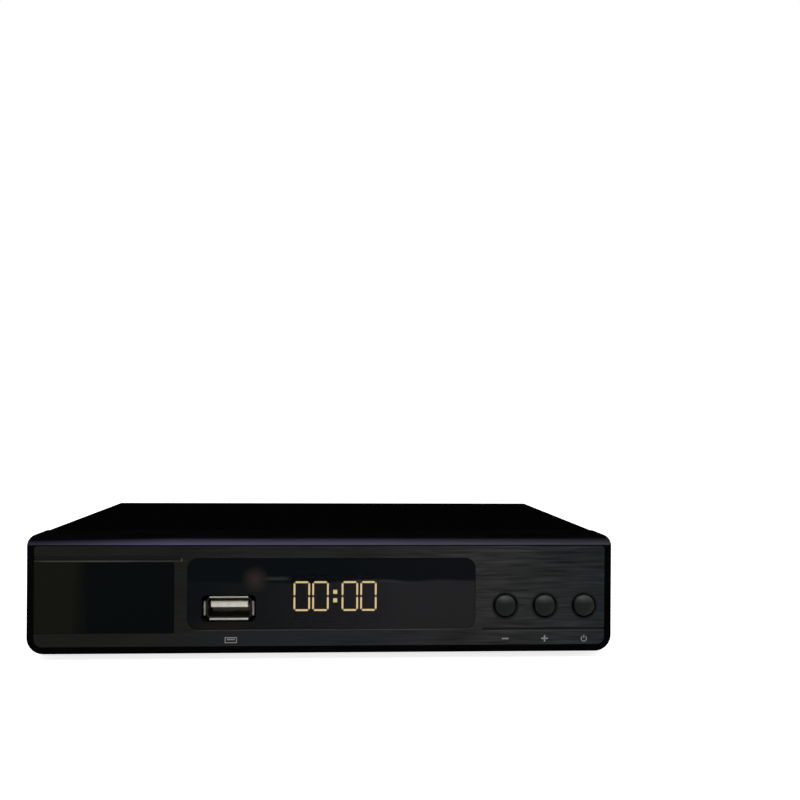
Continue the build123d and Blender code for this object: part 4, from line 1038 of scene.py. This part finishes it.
def bar_mark(name, x, z, width, height):
    """A printed bar: a plane on the plate."""
    bpy.ops.object.select_all(action="DESELECT")
    place = Vector((x, PLATE_FRONT, z)) * MM
    bpy.ops.mesh.primitive_plane_add(size=1, location=place, rotation=FACING["y"])
    made = bpy.context.object
    made.name = name
    made.scale = (width * MM, height * MM, 1)
    apply_place()
    start_edit()
    return print_face(made)


def arc_mark(name, x, z, radius, line, gap):
    """A printed ring, open at the top by gap degrees."""
    piece = open_ring(name, (x, PLATE_FRONT, z), radius, "y", 72)
    grow((x, PLATE_FRONT, z), "y", [(radius, 0), (radius - line, 0)])
    bpy.ops.mesh.select_mode(type="FACE")
    bpy.ops.object.mode_set(mode="OBJECT")
    for face in piece.data.polygons:
        lean = math.degrees(math.atan2(face.center.x / MM - x, face.center.z / MM - z))
        face.select = abs(lean) < gap / 2
    bpy.ops.object.mode_set(mode="EDIT")
    bpy.ops.mesh.delete(type="FACE")
    bpy.ops.mesh.select_all(action="SELECT")
    return print_face(piece)


print("marks are", INK_THICKNESS, "mm thick")

# %% Printed marks
SIGN_WIDTH, STROKE, PLUS_ARM = 2.0, 0.45, 0.775
SOCKET_SIGN_X, SOCKET_SIGN_WIDTH, SOCKET_SIGN_HEIGHT, OUTLINE = -27.4, 3.6, 1.76, 0.26

minus_mark = bar_mark("minus_mark", DOWN_KEY_X, MARK_HEIGHT, SIGN_WIDTH, STROKE)
arm_shift = (STROKE + PLUS_ARM) / 2
plus_mark = joined(
    "plus_mark",
    bar_mark("plus_bar", UP_KEY_X, MARK_HEIGHT, SIGN_WIDTH, STROKE),
    bar_mark("plus_top", UP_KEY_X, MARK_HEIGHT + arm_shift, STROKE, PLUS_ARM),
    bar_mark("plus_foot", UP_KEY_X, MARK_HEIGHT - arm_shift, STROKE, PLUS_ARM),
)
power_mark = joined(
    "power_mark",
    arc_mark("power_arc", POWER_KEY_X, MARK_HEIGHT - 0.1, radius=0.95, line=0.3, gap=70),
    bar_mark("power_bar", POWER_KEY_X, MARK_HEIGHT + 0.5, width=0.3, height=1.0),
)
side_shift = (SOCKET_SIGN_WIDTH - OUTLINE) / 2
level_shift = (SOCKET_SIGN_HEIGHT - OUTLINE) / 2
side_length = SOCKET_SIGN_HEIGHT - 2 * OUTLINE
port_mark = joined(
    "port_mark",
    bar_mark("port_low", SOCKET_SIGN_X, MARK_HEIGHT - level_shift, SOCKET_SIGN_WIDTH, OUTLINE),
    bar_mark("port_high", SOCKET_SIGN_X, MARK_HEIGHT + level_shift, SOCKET_SIGN_WIDTH, OUTLINE),
    bar_mark("port_left", SOCKET_SIGN_X - side_shift, MARK_HEIGHT, OUTLINE, side_length),
    bar_mark("port_right", SOCKET_SIGN_X + side_shift, MARK_HEIGHT, OUTLINE, side_length),
    bar_mark("port_tongue", SOCKET_SIGN_X, MARK_HEIGHT + 0.2, width=2.3, height=0.42),
)
for mark in (minus_mark, plus_mark, power_mark, port_mark):
    seat(mark, "housing", mark_ink, "segment_dark")

# %% [markdown]
# ## Aerial sockets
# The two threaded sockets are turned from brass and plated with nickel. Their hexagon is the
# part that a spanner holds. The thread is drawn as closed rings and not as a helix: at this
# size the two look the same, and rings stay closed at both ends.

# %% Finishes of the aerial sockets
THREAD_ROOTS = (4.2, 4.7)
THREAD_FRONT = (59.7, 60.0)

socket_nickel = finish("socket_nickel", (0.42, 0.41, 0.38), 0.24, metallic=1.0)
nickel_tone = tint(socket_nickel, grain(socket_nickel, 1.5), (0.34, 0.33, 0.30), (0.46, 0.45, 0.42))
_, nickel_y, _ = place_of(socket_nickel)
# Painted shade: the bore and the thread's roots behind the face are drawn darker.
hollow = product(
    socket_nickel,
    discs(socket_nickel, AERIAL_MIDDLES, *THREAD_ROOTS),
    slope(socket_nickel, nickel_y, 1, 0, *THREAD_FRONT),
)
layer(socket_nickel, nickel_tone, hollow, (0.07, 0.068, 0.06))
gloss(socket_nickel, grain(socket_nickel, 0.7), 0.2, 0.34)
insulator_white = speckled("insulator_white", 0.5, 1.0, (0.64, 0.63, 0.59), (0.74, 0.73, 0.69))
print("socket finishes:", socket_nickel.name, insulator_white.name)

# %% Aerial sockets
BORE, ROOT, CREST = 3.25, 4.15, 4.75
PITCH, THREAD_TURNS, THREAD_END = 0.79, 10, 60.0
SOCKET_FACE, BORE_BOTTOM, BARREL_BACK = 60.2, 53.0, 48.4

socket_rings = [(BORE, BORE_BOTTOM), (BORE, THREAD_END), (BORE + 0.15, SOCKET_FACE), (4.2, SOCKET_FACE)]
for thread_turn in range(THREAD_TURNS):
    turn_end = THREAD_END - thread_turn * PITCH
    socket_rings += [
        (CREST, turn_end - 0.3 * PITCH), (CREST, turn_end - 0.45 * PITCH), (ROOT, turn_end - 0.85 * PITCH),
    ]
socket_rings += [(ROOT, BARREL_BACK), (BORE, BARREL_BACK)]
nut_rings = [(4.1, 48.3), (4.1, 51.1), (5.8, 51.1), (6.3, 50.8), (6.3, 48.3)]


def socket(name, x, z):
    """One threaded socket with its hexagon, which is turned to have corners at its sides."""
    centre = (x, 0, z)
    barrel = tube(name, centre, "y", socket_rings, 64, 30)
    nut = tube(name + "_nut", centre, "y", nut_rings, 6, 20)
    start_edit()
    bpy.ops.transform.rotate(value=math.radians(30), orient_axis="Y", center_override=Vector(centre) * MM)
    bpy.ops.object.mode_set(mode="OBJECT")
    return joined(name, barrel, nut)


(input_x, aerial_z), (loop_x, _) = AERIAL_MIDDLES
to_loop = (loop_x - input_x, 0, 0)
first_socket = socket("aerial_input_thread", input_x, aerial_z)
second_socket = copied(first_socket, "aerial_loop_thread", to_loop)
seat(first_socket, "housing", socket_nickel, "socket_nickel", "aerial_input_socket")
seat(second_socket, "housing", socket_nickel, "socket_nickel", "aerial_loop_socket")

insulator_rings = [(0.55, 52.4), (0.55, 58.7), (1.2, 59.3), (2.9, 59.4), (3.15, 59.1), (3.15, 52.4)]
insulator = tube("insulator", (input_x, 0, aerial_z), "y", insulator_rings, 48)
insulator_pair = joined("aerial_insulator_pair", insulator, copied(insulator, "insulator_twin", to_loop))
seat(insulator_pair, "housing", insulator_white, "insulator_white", "aerial_insulators")

# %% [markdown]
# ## Jacks and power inlet
# Three plated sleeves stand in coloured collars, one for picture and two for sound. Beside them
# sits the power inlet, whose pin shows at the bottom of a round hole.

# %% Finishes of the collars
def collar_finish(name, dark, pale):
    """Moulded plastic in one of the jacks' colours."""
    material = speckled(name, 0.35, 1.5, dark, pale)
    relief(material, grain(material, 0.3), 0.008, 0.3)
    return material


video_yellow = collar_finish("video_yellow", (0.68, 0.44, 0.015), (0.78, 0.53, 0.03))
sound_white = collar_finish("sound_white", (0.66, 0.66, 0.64), (0.76, 0.76, 0.74))
sound_red = collar_finish("sound_red", (0.42, 0.009, 0.009), (0.54, 0.015, 0.015))
COLLARS = (
    ("video_collar", video_yellow, "video_yellow"),
    ("left_sound_collar", sound_white, "sound_white"),
    ("right_sound_collar", sound_red, "sound_red"),
)
print("jack colours:", [slot for name, material, slot in COLLARS])

# %% Jacks and inlet pin
sleeve_rings = [
    (3.8, 51.4), (3.8, 59.3), (3.9, 59.6), (3.98, 59.7), (4.08, 59.6), (4.15, 59.4),
    (4.15, 57.3), (4.02, 57.2), (4.02, 56.6), (4.15, 56.5), (4.15, 51.4),
]
collar_rings = [
    (1.6, 51.0), (1.6, 58.7), (1.9, 59.0), (3.4, 59.0), (3.7, 58.7), (3.7, 51.3),
    (4.2, 51.3), (4.9, 51.3), (5.2, 51.1), (5.2, 50.7), (1.6, 50.7),
]
jack_x, jack_z = middle_of("video_collar")
jack_moves = [(middle_of(name)[0] - jack_x, 0, 0) for name, material, slot in COLLARS[1:]]

first_sleeve = tube("first_sleeve", (jack_x, 0, jack_z), "y", sleeve_rings, 64, 30)
sleeves = [first_sleeve] + [copied(first_sleeve, "sleeve", move) for move in jack_moves]
seat(joined("jack_sleeve_set", *sleeves), "housing", socket_nickel, "socket_nickel", "jack_sleeves")

first_collar = tube("first_collar", (jack_x, 0, jack_z), "y", collar_rings, 64, 30)
collars = [first_collar] + [copied(first_collar, "collar", move) for move in jack_moves]
for collar, (name, material, slot) in zip(collars, COLLARS):
    collar.name = name + "_turned"
    seat(collar, "housing", material, slot, name)

inlet_x, inlet_z = middle_of("inlet_pin")
pin_rings = [(1.0, 40.7), (1.0, 49.3), (0.85, 49.7), (0.5, 49.9), (0, 49.9)]
inlet_pin = turned("inlet_pin_turned", (inlet_x, 0, inlet_z), "y", pin_rings, 32)
seat(inlet_pin, "housing", socket_nickel, "socket_nickel", "inlet_pin")

# %% [markdown]
# ## Cover screws
# Pan heads with a crossed drive hold the cover, three in the rear panel and two on each side.
# One head is turned, a cross is cut out of it, and the copies take its place.

# %% Helpers for crossed heads
screw_black = speckled("screw_black", 0.35, 0.6, (0.02, 0.02, 0.022), (0.045, 0.045, 0.048), metallic=1.0)


def cutting_blade(centre, size):
    """A block that stands half in and half out of a screw head's face."""
    bpy.ops.object.select_all(action="DESELECT")
    bpy.ops.mesh.primitive_cube_add(size=1, location=Vector(centre) * MM)
    blade = bpy.context.object
    blade.scale = Vector(size) * MM
    apply_place()
    return blade


def cut(piece, cutter):
    """Takes the cutter's volume away from the piece."""
    hole = piece.modifiers.new("cut", "BOOLEAN")
    hole.operation = "DIFFERENCE"
    hole.solver = "EXACT"
    hole.object = cutter
    only(piece)
    bpy.ops.object.modifier_apply(modifier=hole.name)
    bpy.data.objects.remove(cutter)


def cut_cross(piece, centre, axis, width, line, depth):
    """Cuts a cross into a head, sunk by depth from its face."""
    for across, upwards in ((line, width), (width, line)):
        size = (2 * depth, across, upwards) if axis == "x" else (across, 2 * depth, upwards)
        cut(piece, cutting_blade(centre, size))


print("screw finish:", screw_black.name)

# %% Cover screws
REAR_SCREW_X, REAR_SCREW_Z, REAR_HEAD_FACE = 75.5, 32.95, 52.5
FRONT_SCREW_Y, BACK_SCREW_Y, SIDE_SCREW_Z, SIDE_HEAD_FACE = -35.6, 38.6, 8, 87.45

rear_rings = [
    (1.5, 46.4), (1.5, 51.2), (2.6, 51.2), (2.6, 51.6), (2.45, 52.05), (2.05, 52.35),
    (1.4, REAR_HEAD_FACE), (0, REAR_HEAD_FACE),
]
rear_head = turned("rear_head", (-REAR_SCREW_X, 0, REAR_SCREW_Z), "y", rear_rings, 48, 30)
cut_cross(rear_head, (-REAR_SCREW_X, REAR_HEAD_FACE, REAR_SCREW_Z), "y", width=2.7, line=0.55, depth=1.0)
rear_heads = [rear_head] + [copied(rear_head, "rear_head", (REAR_SCREW_X * n, 0, 0)) for n in (1, 2)]
rear_set = joined("rear_screw_heads", *rear_heads)
seat(rear_set, "housing", screw_steel, "screw_steel", "cover_rear_screws")

side_rings = [
    (1.5, 84.6), (1.5, 87.0), (2.8, 87.0), (2.8, 87.15), (2.6, 87.35),
    (2.1, SIDE_HEAD_FACE), (0, SIDE_HEAD_FACE),
]
side_head = turned("side_head", (0, FRONT_SCREW_Y, SIDE_SCREW_Z), "x", side_rings, 48, 30)
cut_cross(side_head, (SIDE_HEAD_FACE, FRONT_SCREW_Y, SIDE_SCREW_Z), "x", width=2.5, line=0.5, depth=0.8)
side_back = copied(side_head, "side_back", (0, BACK_SCREW_Y - FRONT_SCREW_Y, 0))
far_front = copied(side_head, "far_front", (0, 2 * FRONT_SCREW_Y, 0), math.pi)
far_back = copied(side_head, "far_back", (0, FRONT_SCREW_Y + BACK_SCREW_Y, 0), math.pi)
side_set = joined("side_screw_heads", side_head, side_back, far_front, far_back)
seat(side_set, "housing", screw_black, "screw_black", "cover_side_screws")
